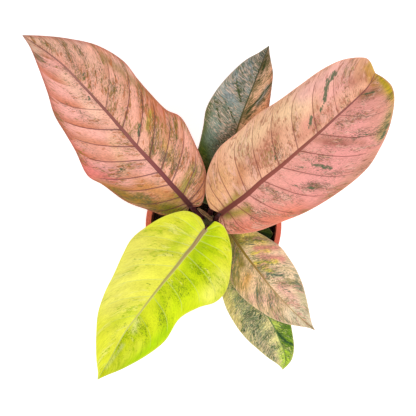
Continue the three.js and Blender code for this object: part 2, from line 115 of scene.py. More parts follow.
# Each leaf has its own frame: it starts where the stalk meets the blade, +X runs to the tip and +Y to
# the left. heights are the midrib's heights above the junction at equal steps to the tip. left and
# right hold a half's fold, curl, wave, number of waves and phase: fold lifts it away from the midrib,
# curl lets its margin down again and wave ripples it. A row of veins holds the foot of a pair of side
# veins on the midrib (along, sideways), then where the left one meets the margin (along, out) and where
# the right one does (along, out). bow is how far the veins bow back, in steps from vein to vein.
# stalk holds the height at which the stalk leaves the stem, the way it sets out, its lean forward where
# it arrives, and its radius as a share of the full one.
# base and band are the tissue's colours (left, right); band is how the tissue looks beside a side vein,
# with its strength. A wash is one soft brush stroke of colour: (colour, strength, reach, from along,
# from aside, to along, to aside). A pattern is broken tissue: (colour, blotch across and along the
# veins, how readily it covers the left and the right half, strength). A cluster makes a pattern cover
# more or less: (pattern, how much more, reach, from and to as before). A mark is a dark sector: (how
# readily it shows, reach, from and to as before). mark, vein, edge and back colour the marks, the side
# veins, the margin and the underside; rib colours the midrib from foot to tip. In a few leaves, noted where
# they stand, base colours and washes also carry painted reflection or painted shade.
# rib_half is the midrib's half width at its foot, rib_taper the power by which it thins, vein_half a
# side vein's half width, vein_power its strength, edge_width how far in the margin's colour reaches and
# grit how much a fine grain darkens the skin.
UPPER_LEFT_PINK = dict(
    slot="blade_pink", junction=(-22, 19, 150), heading=134.6, length=217, heights=(0, 22, 37, 43, 34),
    left=(0.24, 0.2, 0.07, 3, 0.6), right=(0.16, 0.12, 0.06, 3.5, 2.4),
    veins=[
        [0, 0, -3, 8, -4, 2], [0, 0, 0, 16, -7, 8], [0, 0, 10, 24, 0, 20], [3, 0, 24, 31, 13, 33],
        [11, -0.5, 44, 40, 39, 44], [26, -1, 69, 44, 63, 51], [41, -2, 86, 48, 78, 46],
        [56, -2.5, 109, 40, 99, 46], [72, -3, 126, 35, 115, 47], [92, -4.5, 144, 30, 136, 49],
        [115, -6, 163, 20, 161, 42], [142, -7, 185, 10, 183, 28], [176, -7, 202, 3, 201, 14],
    ],
    stalk=dict(height=114, leave=(-5, 2.5, 4), arrive=0.5, radius=1),
    base=("#F4AEA0", "#EEAA94"), band=("#BE6638", 0.75, "#B0683A", 0.5),
    washes=[
        ("#EBAF92", 0.7, 14, 114, -5, 31, 1), ("#E7A49C", 0.7, 7, 83, 35, 49, 3),
        ("#DDBBA2", 0.8, 8, 214, 1, 199, -1), ("#E4AE96", 0.75, 8, 200, -10, 150, -32),
        ("#E08C7C", 0.75, 6, 179, 14, 120, 38), ("#DC7868", 0.85, 6, 120, 38, 80, 46),
        ("#D59074", 0.6, 7, 112, 26, 56, 18), ("#B06A50", 0.8, 5, 150, 30, 128, 38),
        ("#C8864A", 0.9, 8, 14, 5, 44, 19), ("#A0742E", 1, 7, 70, 46, 8, 18),
        ("#DE7C74", 0.8, 5, 92, 46, 66, 33), ("#B87A50", 0.7, 6, 84, -38, 62, -34),
        ("#8A8A1C", 0.95, 6, 14, 18, -2, 7), ("#988E2C", 0.85, 6, 13, 1, 20, -26),
        ("#C8A048", 0.6, 6, 40, -19, 67, -22), ("#B8744A", 0.85, 7, -5, -5, 8, -27),
        ("#C8685A", 0.8, 6, 98, -46, 71, -45), ("#A8A284", 0.6, 3, 60, -51, 50, -48),
        ("#E2B0A4", 0.5, 5, 112, -52, 138, -44), ("#CCB42C", 0.7, 2.5, 77, -22, 86, -34),
        ("#ECBA90", 0.5, 5, 92, 8, 64, 20), ("#E4B092", 0.6, 7, 146, -22, 116, -26),
        ("#F8C4A8", 0.7, 6, 162, -2, 118, 3), ("#F0C0A4", 0.7, 5, 206, -3, 186, -10),
        ("#B09084", 0.6, 4, 196, -22, 172, -34), ("#9C7C4C", 0.75, 3.5, 152, -38, 84, -47),
        ("#5A3418", 0.8, 4, 0, 0, 6, 0),
    ],
    patterns=[
        ("#B8683A", 2.4, 10, 0.38, 0.44, 0.75), ("#8E7434", 1.8, 6, 0.3, 0.4, 0.75),
        ("#F4B29E", 3, 16, 0.3, 0.4, 0.5), ("#4A5438", 0.8, 2.2, 0.32, 0.38, 0.7),
    ],
    clusters=[
        (0, -0.1, 8, 200, -10, 150, -30), (3, 0.1, 6, 196, -18, 163, -30), (3, 0.08, 4, 132, -32, 118, -20),
        (3, 0.2, 5, 146, 18, 128, 10), (3, 0.3, 4, 194, 4, 188, 2), (3, 0.25, 4, 50, -17, 34, -13),
        (2, -0.4, 10, 60, 44, 8, 14), (3, 0.25, 3, 24, -29, 18, -24), (1, 0.25, 4, 156, -11, 142, -10),
        (1, 0.08, 4, 128, -22, 116, -13), (1, 0.2, 8, 90, -10, 60, -40), (3, 0.2, 8, 56, 44, 12, 18),
        (0, 0.3, 9, 60, -45, 100, -44), (1, 0.35, 8, 56, 42, 10, 18), (0, -0.15, 9, 170, -2, 118, 3),
        (1, -0.15, 9, 170, -12, 124, -4),
    ],
    marks=[
        (0.9, 2, 85, -19.5, 78, -12), (0.5, 1.5, 169, -33, 164, -28), (0.7, 1.2, 152, -15, 144, -10),
        (0.7, 1.2, 124, 0, 118, -3), (0.6, 1.5, 146, 19, 141, 17), (0.7, 1, 134, -4, 131, -2),
        (0.7, 1, 68, 21, 67, 24), (0.6, 1, 97, 12, 95, 15),
    ],
    mark="#4C6346", vein="#6E3E42", edge="#B4604E", back="#B98A72",
    rib=("#46201F", "#8A4C4A", "#965C54", "#9A665A", "#B8887A", "#BC9A88"),
    bow=0.6, rib_half=2.3, rib_taper=1.0, vein_half=0.55, vein_power=0.8, edge_width=3.5, grit=0.2,
)
UPPER_RIGHT_PINK = dict(
    slot="blade_pink", junction=(7, 11, 155), heading=42.5, length=190, heights=(0, 20, 34, 38, 26),
    left=(0.2, 0.14, 0.06, 3, 1.2), right=(0.18, 0.16, 0.07, 3, 4),
    veins=[
        [0, 0, -2, 5, -6, 3], [0, 0, -4, 12, -10, 11], [0, 0, 3, 25, -5, 21], [6, -0.5, 18, 38, 13, 34],
        [15, -1.5, 39, 46, 35, 43], [30, -3, 63, 45, 60, 52], [48, -3, 86, 45, 93, 58],
        [68, -4.5, 107, 41, 124, 59], [90, -5, 131, 38, 147, 53], [113, -5.5, 154, 35, 165, 45],
        [138, -5.5, 174, 29, 182, 32], [161, -5.5, 189, 19, 191, 20], [177, -4.5, 193, 12, 192, 9],
    ],
    stalk=dict(height=116, leave=(6, 2, 4), arrive=0.5, radius=1),
    base=("#F0B494", "#ECA294"), band=("#D09058", 0.3, "#C8705E", 0.28),
    washes=[
        # The pale cream stroke #F8D0A4 along the left half's margin is a painted reflection of light on
        # that edge
        ("#E6AC78", 0.85, 13, 0, 15, 24, 24), ("#F8D0A4", 0.85, 12, 53, 33, 120, 27),
        ("#F0B4AC", 0.75, 9, 126, 30, 171, 25), ("#C47862", 0.55, 9, 55, 14, 88, 22),
        ("#A28C34", 0.8, 4, 2, 0, 24, 3), ("#9A8E2C", 0.85, 5, 4, -6, 20, -14),
        ("#EE9E98", 0.75, 18, 74, -36, 150, -32), ("#DE7E62", 0.85, 11, 0, -23, 53, -48),
        ("#F2AAA4", 0.7, 8, 141, 14, 165, 12), ("#CCAE2A", 1, 6, 193, 6, 186, -26),
        ("#A69A4E", 0.75, 5, 180, -34, 153, -45), ("#B4745E", 0.65, 3.5, 108, -8, 138, -39),
        ("#8E3E2C", 0.5, 3, 112, -16, 124, -29), ("#A87C50", 0.7, 4, 166, -7, 180, -15),
        ("#D8847C", 0.5, 6, 110, 8, 140, 0), ("#BE7C66", 0.85, 5, 184, 4, 166, 8),
        ("#B87060", 0.7, 6, 56, -52, 100, -58), ("#5A3A1C", 0.8, 4, 0, 0, 5, -3),
        ("#CE9270", 0.75, 5, 187, 13, 176, 8), ("#C27A4C", 0.6, 5, 32, 10, 42, 18),
        ("#D08872", 0.6, 5, 98, 2, 120, 2), ("#C08A6A", 0.6, 5, 100, -58, 140, -54),
        ("#C8963C", 0.7, 4, 186, 8, 181, -6), ("#CC8C78", 0.6, 7, 172, -26, 150, -34),
    ],
    patterns=[
        ("#A85C44", 2, 6, 0.4, 0.33, 0.6), ("#9A8444", 1.3, 4.5, 0.27, 0.26, 0.6),
        ("#F8C0AC", 4, 14, 0.36, 0.36, 0.45), ("#4C5238", 0.8, 2, 0.24, 0.34, 0.7),
    ],
    clusters=[
        (3, 0.2, 7, 79, 30, 78, 5), (1, 0.25, 6, 60, 8, 84, 16), (0, 0.24, 10, 60, 10, 92, 28),
        (3, 0.08, 3, 172, 17, 152, -1), (3, 0.16, 6, 92, -24, 101, -40), (3, 0.16, 7, 70, -27, 90, -46),
        (2, -0.5, 9, 0, 0, 14, -14), (3, 0.3, 4, 164, -43, 134, -30), (1, 0.1, 6, 190, 2, 184, -30),
        (3, 0.24, 4, 186, -22, 166, -40), (1, 0.3, 5, 60, -52, 98, -56), (1, 0.2, 6, 4, -4, 20, -10),
        (3, -0.2, 14, 40, 30, 20, 20), (1, 0.1, 4, 172, 17, 160, 8),
    ],
    marks=[
        (1, 2.8, 161, 25, 150, 23), (1, 2.6, 150, 22, 137, 13), (0.9, 1.4, 137, 13, 128, 8),
        (0.8, 2.2, 119, 10, 111, 4), (0.75, 1.8, 134, -30, 147, -37), (0.8, 2.2, 168, -41, 152, -47),
        (0.85, 2.2, 91, -23, 101, -37), (0.6, 1.2, 78, -14, 84, -19), (0.8, 1, 66, -25, 68, -28),
        (0.7, 1.3, 73, -35, 77, -39), (0.7, 1.2, 166, -6, 176, -12), (0.6, 1, 77, 12, 70, 3),
    ],
    mark="#54684A", vein="#87483F", edge="#E8A488", back="#BE8E78",
    rib=("#5A2E28", "#904E44", "#98564A", "#985A4E", "#9C645E", "#A87C70"),
    bow=0.6, rib_half=2.4, rib_taper=0.95, vein_half=0.5, vein_power=0.75, edge_width=1.6, grit=0.15,
)
CHARTREUSE = dict(
    slot="blade_chartreuse", junction=(-8, -4, 172), heading=-125.7, length=171,
    heights=(0, 14, 19, 10, -14),
    left=(0.14, 0.14, 0.07, 2.5, 1), right=(0.12, 0.14, 0.05, 3, 3.6),
    veins=[
        [0, 0, -6, 2.4, -4, 4], [0, 0, -12, 3, -7, 13], [0, 0, -12, 14, -3, 26], [5, -0.5, -1, 29, 12, 38],
        [11, -0.5, 12, 38, 30, 46], [19, -0.5, 31, 47, 46, 50], [28, -1.5, 47, 46, 62, 48],
        [42, -2, 61, 36, 81, 44], [57, -3, 79, 28, 99, 41], [76, -4, 102, 29, 118, 35],
        [97, -4.5, 123, 23, 136, 24], [120, -5, 145, 13, 152, 12.5], [148, -1.5, 160, 5, 163, 4],
    ],
    stalk=dict(height=112, leave=(-0.5, -5, 6), arrive=0.3, radius=1),
    base=("#DAE420", "#ECEA4C"), band=("#C8DC08", 0.35, "#DEE234", 0.25),
    washes=[
        ("#F4EE6C", 0.8, 20, 44, -46, 100, -32), ("#E4E634", 0.8, 9, 26, -43, -6, -14),
        ("#EAEA3C", 0.8, 10, -3, 19, 28, 47), ("#F4F268", 0.9, 8, 26, 38, 46, 38),
        ("#C8D800", 0.9, 7, 62, 40, 68, 30), ("#C4D800", 0.9, 9, 0, 10, 32, 15),
        ("#C6DA00", 0.85, 9, 32, 15, 57, 20), ("#C6DE00", 0.7, 7, 69, 18, 91, 22),
        ("#B0D600", 0.95, 6, 93, 26, 144, 15), ("#E2E62C", 0.7, 10, 127, -22, 157, -4),
        ("#C8D818", 0.6, 6, 115, -17, 99, -8), ("#E2EA40", 0.7, 5, 118, 12, 156, 4),
        ("#A4C410", 0.7, 5, 6, 6, 34, 7), ("#F4F49C", 0.6, 3, 103, -2, 112, 1),
        ("#EAF0A0", 0.8, 1.6, 128, 0, 156, 0), ("#BCD400", 0.6, 6, 4, -12, 30, -14),
        ("#B8CE10", 0.5, 5, 30, 6, 80, 6),
    ],
    patterns=[
        ("#B8D200", 4, 16, 0.42, 0.2, 0.6), ("#F6F284", 4, 18, 0.18, 0.3, 0.5),
        ("#9CBA00", 1.5, 5, 0.3, 0.2, 0.6), ("#5E7C10", 0.8, 1.4, 0.26, 0.14, 0.75),
    ],
    clusters=[
        (2, 0.3, 6, 92, -12, 106, -14), (2, 0.2, 8, 30, 14, 60, 20), (2, 0.3, 3, 73, 18, 84, 24),
        (3, 0.16, 8, 64, 14, 108, 12), (2, 0.2, 8, 28, -34, 60, -22), (3, 0.16, 6, 100, -12, 120, -8),
        (3, -0.1, 14, 60, -42, 100, -30), (3, 0.14, 8, 28, 14, 56, 18), (0, -0.3, 9, 28, 36, 50, 36),
        (3, -0.15, 9, 28, 36, 50, 36), (1, -0.2, 12, 95, 25, 150, 12),
    ],
    marks=[
        (0.6, 0.9, 70, -18, 69, -12), (0.6, 0.8, 33, -35, 31, -31), (0.6, 1, 122, 17, 127, 19),
        (0.6, 0.8, 145, -14, 145, -10), (0.6, 0.8, 112, -14, 110, -9),
    ],
    mark="#86A028", vein="#D2DC80", edge="#E6E458", back="#C6CC58",
    rib=("#A07258", "#B09A5C", "#B8A654", "#C8C464", "#DCE08C", "#E4ECA8"),
    bow=0.6, rib_half=2.2, rib_taper=1.7, vein_half=0.45, vein_power=0.42, edge_width=1.6, grit=0.1,
)
FOLDED_GREY = dict(
    slot="blade_mottled", junction=(-1, 21, 133), heading=70.3, length=155, heights=(0, 12, 22, 27, 22),
    left=(0.32, 0.06, 0.03, 2, 0), right=(0.3, 0.08, 0.04, 2.5, 2),
    veins=[
        [0, 0, -3, 5, -1, 6], [0, 0, 0, 15, 8, 12], [5, 0.5, 12, 26, 23, 19], [13, 0.5, 25, 31, 43, 22],
        [27, 1, 42, 30, 63, 24], [47, 1, 62, 32, 83, 22], [67, 1.5, 80, 35, 102, 19],
        [88, 2, 98, 32, 120, 15], [105, 1.5, 117, 25, 131, 12], [123, 1, 134, 16, 142, 6],
        [140, 0.5, 145, 7, 148, 3],
    ],
    stalk=dict(height=113, leave=(0, 4, 4), arrive=0.7, radius=0.9),
    # The grey of the left half's base, and the grey and blue-grey washes #7C8490, #76887A and #ACA89C on
    # that half, are painted reflection of the bright surroundings laid over pinkish tissue
    base=("#949C8C", "#FAC094"), band=("#5C6A50", 0.4, "#9A7A3C", 0.25),
    washes=[
        ("#3A4A06", 1, 14, 44, 26, 4, 8), ("#7C8490", 0.55, 14, 138, 7, 100, 18),
        ("#76887A", 0.5, 9, 86, 18, 60, 20), ("#E8987C", 0.95, 3, 138, -11, 92, -22),
        ("#3E4C14", 0.85, 4, 84, 35, 50, 30), ("#4E5244", 0.8, 6, 154, 2, 140, 3),
        ("#8E9C9A", 0.8, 2, 118, -12, 100, -8), ("#8E8058", 0.6, 6, 74, 4, 52, 4),
        ("#626238", 0.85, 6, 84, 34, 60, 34), ("#ACA89C", 0.6, 5, 114, 25, 94, 32),
    ],
    patterns=[
        ("#D4B49C", 1, 5, 0.54, 0, 0.75), ("#4C6450", 1.4, 7, 0.48, 0, 0.65),
        ("#66602A", 1.2, 6, 0.22, 0.42, 0.75), ("#3A441C", 0.8, 2.6, 0.35, 0.37, 0.7),
    ],
    clusters=[
        (0, -0.6, 14, 46, 27, 4, 8), (1, -0.4, 14, 40, 27, 4, 8), (2, 0.25, 12, 40, 27, 4, 8),
        (2, 0.3, 3, 145, -1, 80, -1), (3, 0.15, 6, 60, 8, 40, 12), (2, 0.15, 5, 90, -6, 60, -14),
        (0, 0.15, 9, 74, 18, 60, 12),
    ],
    marks=[
        (0.75, 1.5, 112, 17, 97, 7), (0.75, 1.3, 88, 16, 76, 4), (0.7, 1.5, 86, 27, 72, 18),
        (0.8, 1.2, 124, -14.5, 88, -1.5), (0.6, 1, 107, -12, 83, -3), (0.7, 1.2, 146, -1.8, 120, -1.8),
    ],
    mark="#3E4C26", vein="#4E5A40", edge="#98866A", back="#8E8A66",
    rib=("#6A5A28", "#6C5E30", "#6C6034", "#5E5A34", "#54543C", "#54543C"),
    bow=0.15, rib_half=0.9, rib_taper=0.85, vein_half=0.5, vein_power=0.35, edge_width=1.4, grit=0.36,
)
MOTTLED_PINK = dict(
    slot="blade_mottled", junction=(12, -3.5, 136), heading=-48.8, length=128, heights=(0, 10, 12, 4, -14),
    left=(0.16, 0.14, 0.05, 2, 0.5), right=(0.14, 0.16, 0.05, 2.5, 3),
    veins=[
        [0, 0, -3, 5, -3, 5], [0, 0, 2, 14, 2, 14], [4, 0.5, 21, 20, 25, 24], [12, -0.5, 33, 24, 40, 29],
        [24, -2, 46, 27, 52, 31], [36, -3, 59, 26, 64, 30], [50, -3.5, 71, 24, 77, 27],
        [64, -4.5, 84, 20, 90, 23], [79, -4.5, 97, 14, 102, 17], [94, -4, 110, 7, 112, 10],
        [110, -2.5, 120, 2, 120, 4],
    ],
    stalk=dict(height=110, leave=(5, -1, 5), arrive=0.6, radius=0.9),
    base=("#F6D4AC", "#EEC69C"), band=("#8E8448", 0.35, "#948648", 0.3),
    washes=[
        ("#686000", 0.95, 6, 0, 0, 18, 2), ("#E6CE60", 0.9, 8, 16, 9, 30, 18),
        ("#E49484", 0.95, 2.8, 31, 9, 44, 24), ("#EACC4C", 0.9, 2, 33, 3, 41, 16),
        ("#E6948A", 0.95, 3.2, 41, 8, 55, 21), ("#EAD44C", 0.9, 2.2, 41, -1, 53, 15),
        ("#DA9C3C", 0.7, 2.6, 44, -2, 51, 5), ("#DCD03C", 0.8, 2, 51, 2, 58, 6),
        ("#E6A89C", 0.7, 5, 72, 2, 92, 5), ("#E2A898", 0.6, 5, 78, -12, 64, -25),
        ("#EADFBE", 0.9, 9, 100, -3, 124, 0), ("#B8B088", 0.7, 5, 90, 14, 110, 8),
        ("#E2A04E", 0.7, 4.5, 46, -14, 50, -24), ("#7A6A10", 0.9, 5, 2, -3, 34, -11),
        ("#DCB86C", 0.6, 6, 24, -14, 42, -26),
    ],
    patterns=[
        ("#86803C", 1, 4, 0.44, 0.46, 0.7), ("#6E7E68", 1.1, 4, 0.36, 0.38, 0.7),
        ("#ECA898", 2, 8, 0.4, 0.36, 0.6), ("#545C34", 0.7, 2, 0.4, 0.4, 0.65),
    ],
    clusters=[
        (0, 0.3, 5, 0, 0, 14, 2), (0, -0.3, 5, 33, 10, 50, 20), (3, -0.25, 5, 33, 10, 50, 20),
        (1, 0.3, 4, 60, 6, 66, 12), (1, 0.25, 4, 76, 20, 86, 16), (0, 0.2, 8, 20, -12, 44, -26),
        (1, 0.2, 4, 60, -16, 72, -22), (1, -0.2, 5, 33, 10, 50, 20), (3, -0.15, 10, 94, -2, 124, 0),
        (0, -0.15, 10, 96, 0, 124, 0), (1, -0.1, 10, 96, 0, 124, 0), (1, 0.25, 5, 62, 22, 74, 24),
    ],
    marks=[
        (0.7, 1.3, 56, 1, 66, 10), (0.6, 1.3, 75, 3, 83, 6), (0.6, 1.2, 28, -8, 39, -22),
        (0.6, 1.2, 50, -12, 60, -26), (0.7, 1.3, 61, -16, 71, -23), (0.6, 1, 78, -12, 85, -23),
        (0.7, 1.2, 22, 4, 30, 12),
    ],
    mark="#65735C", vein="#A08E5C", edge="#EAD0A8", back="#B09C78",
    rib=("#5E4422", "#8C7030", "#A07C48", "#B89468", "#CCAE88", "#D4C094"),
    bow=0.4, rib_half=1.4, rib_taper=1.5, vein_half=0.4, vein_power=0.4, edge_width=1.3, grit=0.3,
)
MOTTLED_GREEN = dict(
    slot="blade_mottled", junction=(12, -17, 124), heading=-66.1, length=134.5, heights=(0, 7, 7, -5, -28),
    left=(0.12, 0.16, 0.05, 2, 2), right=(0.1, 0.12, 0.04, 2, 0),
    veins=[
        [0, 0, 0, 7, 1, 6], [6, 0.5, 9, 17, 11, 12], [16, 1, 24, 22, 26, 19], [30, 2, 39, 27, 40, 23],
        [45, 3.5, 57, 28, 57, 25], [62, 5.5, 73, 28, 76, 23], [77, 7.5, 89, 26, 91, 19],
        [90, 9, 103, 23, 105, 13], [105, 9, 117, 19, 116, 8], [118, 8.5, 127, 13, 125, 3],
        [129, 5, 132, 6.5, 131, 0.5],
    ],
    stalk=dict(height=106, leave=(3, -5, 3), arrive=0.8, radius=0.85),
    base=("#C8D860", "#E6D894"), band=("#5A7A24", 0.3, "#7C8A50", 0.25),
    washes=[
        ("#D2BC76", 0.85, 4.5, 42, -21, 92, -20), ("#D4C27A", 0.7, 4, 92, -20, 124, -5),
        ("#8A9464", 0.6, 7, 44, -10, 92, -5), ("#B4D23A", 0.95, 8, 98, 21, 131, 4),
        ("#7CA024", 0.7, 5, 92, 22, 112, 19), ("#A8A450", 0.6, 8, 20, -9, 40, -20),
        ("#DCB894", 0.7, 4, 98, -8, 124, -2), ("#C8B488", 0.5, 4, 70, -8, 100, -8),
    ],
    patterns=[
        ("#567A66", 1.1, 4.5, 0.34, 0.44, 0.72), ("#E0C69C", 1, 4, 0.34, 0.5, 0.7),
        ("#44700E", 1.1, 4, 0.42, 0.3, 0.75), ("#35562E", 0.7, 2.2, 0.4, 0.42, 0.7),
    ],
    clusters=[
        (0, 0.16, 8, 44, -10, 90, -6), (2, 0.35, 3, 96, 9, 116, 18), (0, -0.2, 4, 44, -22, 90, -22),
        (2, 0.25, 4, 90, 20, 104, 22), (3, 0.16, 7, 70, -10, 96, 0), (3, -0.15, 4, 44, -22, 90, -22),
    ],
    marks=[
        (0.9, 1.5, 96, 9, 108, 14), (0.9, 1.6, 108, 14, 115, 19), (0.6, 1.4, 68, -16, 82, -18),
        (0.6, 1.4, 78, -8, 99, -13), (0.6, 1.2, 67, 7, 87, -6), (0.6, 1.1, 104, 6, 124, 5),
    ],
    mark="#2F5030", vein="#55744C", edge="#D0C478", back="#A4A870",
    rib=("#6E7A40", "#6C8048", "#6C8048", "#708850", "#8A9C58", "#A4B060"),
    bow=0.2, rib_half=0.8, rib_taper=0.85, vein_half=0.4, vein_power=0.3, edge_width=1.3, grit=0.34,
)
SMALL_DARK = dict(
    slot="blade_green", junction=(20, -2, 105), heading=-10.8, length=37.5, heights=(0, 2, 3, 3, 1),
    left=(0.2, 0.1, 0.03, 1, 0), right=(0.2, 0.14, 0.03, 1, 1),
    veins=[
        [0, 0, -1, 4, -1, 4], [6, 0, 10, 10, 11, 9], [14, 0.5, 19, 12, 20, 11], [21, 1, 27, 10, 29, 9],
        [29, 1, 33, 5, 35, 5],
    ],
    stalk=dict(height=101.5, leave=(6, -1, 0), arrive=1.5, radius=0.6),
    # These very dark greens are partly the small leaf's own dark green and partly painted shade, as it lies
    # low under the larger leaves
    base=("#3A4A12", "#1E3010"), band=("#2A3C0C", 0.3, "#182808", 0.3),
    washes=[
        ("#565A1E", 0.6, 5, 8, 8, 28, 8),
    ],
    patterns=[
        ("#1E300C", 1.5, 7, 0.35, 0.35, 0.7), ("#5E6420", 1.5, 6, 0.2, 0.1, 0.6),
        ("#2C4010", 1, 3, 0.3, 0.3, 0.6), ("#16240A", 0.8, 2, 0.25, 0.25, 0.7),
    ],
    clusters=[],
    marks=[],
    mark="#1A2A0A", vein="#46561F", edge="#3A4A18", back="#48562A",
    rib=("#4A5A22", "#3C4E1C", "#38491A", "#38491A", "#38491A", "#38491A"),
    bow=0.4, rib_half=0.7, rib_taper=0.85, vein_half=0.35, vein_power=0.6, edge_width=0.8, grit=0.3,
)
LEAVES = (
    UPPER_LEFT_PINK, UPPER_RIGHT_PINK, CHARTREUSE, FOLDED_GREY, MOTTLED_PINK, MOTTLED_GREEN, SMALL_DARK,
)


# Shapes

def smooth_through(rows, s):
    """Catmull-Rom curve through rows of numbers, all columns at once; s runs from 0 to 1. A cubic
    between two rows takes its slope at each from the rows on either side."""
    rows = np.asarray(rows, float)
    last = len(rows) - 1
    place = np.clip(s, 0, 1) * last
    index = np.minimum(place.astype(int), last - 1)
    f = (place - index)[..., None]
    ends = np.vstack([2 * rows[:1] - rows[1:2], rows, 2 * rows[-1:] - rows[-2:-1]])
    a, b, c, d = (ends[index + step] for step in range(4))
    square = (2 * a - 5 * b + 4 * c - d) * f**2
    cube = (3 * b - a - 3 * c + d) * f**3
    return 0.5 * (2 * b + (c - a) * f + square + cube)


def smooth_step(value, low, high):
    """0 below low, 1 above high and a smooth slope between"""
    f = np.clip((value - low) / (high - low), 0, 1)
    return f * f * (3 - 2 * f)


def linear(colour):
    """Linear red, green and blue of an sRGB hex colour"""
    srgb = np.array([int(colour[i:i + 2], 16) for i in (1, 3, 5)]) / 255
    return np.where(srgb <= 0.04045, srgb / 12.92, ((srgb + 0.055) / 1.055) ** 2.4)


def grid_triangles(rows, columns, first=0):
    """Two triangles for each cell of a grid of points that runs row by row"""
    a = first + np.arange(rows - 1)[:, None] * columns + np.arange(columns - 1)
    b, c, d = a + columns, a + columns + 1, a + 1
    return np.stack([a, b, c, a, c, d], -1).reshape(-1, 3)


def make_piece(name, points, triangles, material, replaces=(), values=None, sharp=180):
    """A mesh from points in millimetres. Points that coincide become one and flat triangles go, which
    closes seams and poles. values holds one number, pair or four a point, kept at the corners."""
    weld = 0.0001
    _, first, welded = np.unique(np.round(points / weld), axis=0, return_index=True, return_inverse=True)
    faces = welded.ravel()[triangles]
    whole = (faces != np.roll(faces, 1, axis=1)).all(1)
    faces = faces[whole]
    corners = triangles[whole].ravel()
    mesh = bpy.data.meshes.new(name)
    mesh.vertices.add(len(first))
    mesh.vertices.foreach_set("co", (points[first] * MM).ravel())
    mesh.loops.add(faces.size)
    mesh.loops.foreach_set("vertex_index", faces.ravel())
    mesh.polygons.add(len(faces))
    mesh.polygons.foreach_set("loop_start", np.arange(0, faces.size, 3))
    mesh.update(calc_edges=True)
    for key, value in (values or {}).items():
        picked = value[corners].astype(np.float32)
        if value.ndim == 1:
            mesh.attributes.new(key, "FLOAT", "CORNER").data.foreach_set("value", picked)
        elif value.shape[1] == 2:
            mesh.uv_layers.new(name=key).uv.foreach_set("vector", picked.ravel())
        else:
            mesh.attributes.new(key, "FLOAT_COLOR", "CORNER").data.foreach_set("color", picked.ravel())
    mesh.validate()
    mesh.shade_smooth()
    if sharp < 180:
        mesh.set_sharp_from_angle(angle=math.radians(sharp))
    mesh.materials.append(material)
    piece = bpy.data.objects.new(name, mesh)
    scene.collection.objects.link(piece)
    if replaces:
        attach(piece, "root")
        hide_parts(*replaces)
    return piece


def turned(profile, segments):
    """A profile of (radius, height) turned round the Z axis: point = (r cos a, r sin a, z)"""
    profile = np.asarray(profile, float)
    angle = np.linspace(0, 2 * math.pi, segments + 1)
    radius, height = profile[:, :1], profile[:, 1:]
    points = np.stack([radius * np.cos(angle), radius * np.sin(angle), height + 0 * angle], -1)
    return points.reshape(-1, 3), grid_triangles(len(profile), segments + 1)[:, ::-1]


def carried(path, section, sideways):
    """A closed section carried along a path, and drawn to a point at both ends. section holds (across,
    up) for each step and point: across is sideways made square to the path, up is square to both.
    Gives points, triangles and grain, in millimetres round the section and along the path."""
    along = np.gradient(path, axis=0)
    along /= np.linalg.norm(along, axis=1)[:, None]
    across = sideways - (along @ sideways)[:, None] * along
    across /= np.linalg.norm(across, axis=1)[:, None]
    up = np.cross(along, across)
    rings = path[:, None] + section[..., :1] * across[:, None] + section[..., 1:] * up[:, None]
    rings[:, -1] = rings[:, 0]
    middle = rings[:, :-1].mean(1, keepdims=True) + 0 * rings
    rings = np.concatenate([middle[:1], rings, middle[-1:]])
    step = np.linalg.norm(np.diff(path, axis=0), axis=1)
    run = np.concatenate([[0, 0], np.cumsum(step), [step.sum()]])
    girth = np.linalg.norm(np.diff(rings[len(rings) // 2], axis=0), axis=1)
    grain = np.stack(np.meshgrid(np.concatenate([[0], np.cumsum(girth)]), run), -1)
    return rings.reshape(-1, 3), grid_triangles(*rings.shape[:2])[:, ::-1], grain.reshape(-1, 2)


def tube(path, radius, sideways, sides, furrow=0.0):
    """A round tube along a path; furrow flattens its top"""
    angle = np.linspace(0, 2 * math.pi, sides + 1)
    dent = 1 - furrow * np.exp(-((angle - math.pi / 2) / 0.5) ** 2)
    section = (radius[:, None] * dent)[..., None] * np.stack([np.cos(angle), np.sin(angle)], -1)
    return carried(path, section, sideways)


def in_place(leaf, points):
    """Turns and moves points from a leaf's frame into the plant's"""
    heading = math.radians(leaf["heading"])
    c, s = math.cos(heading), math.sin(heading)
    turn = np.array([[c, s, 0], [-s, c, 0], [0, 0, 1]])
    return points @ turn + np.array(leaf["junction"], float)


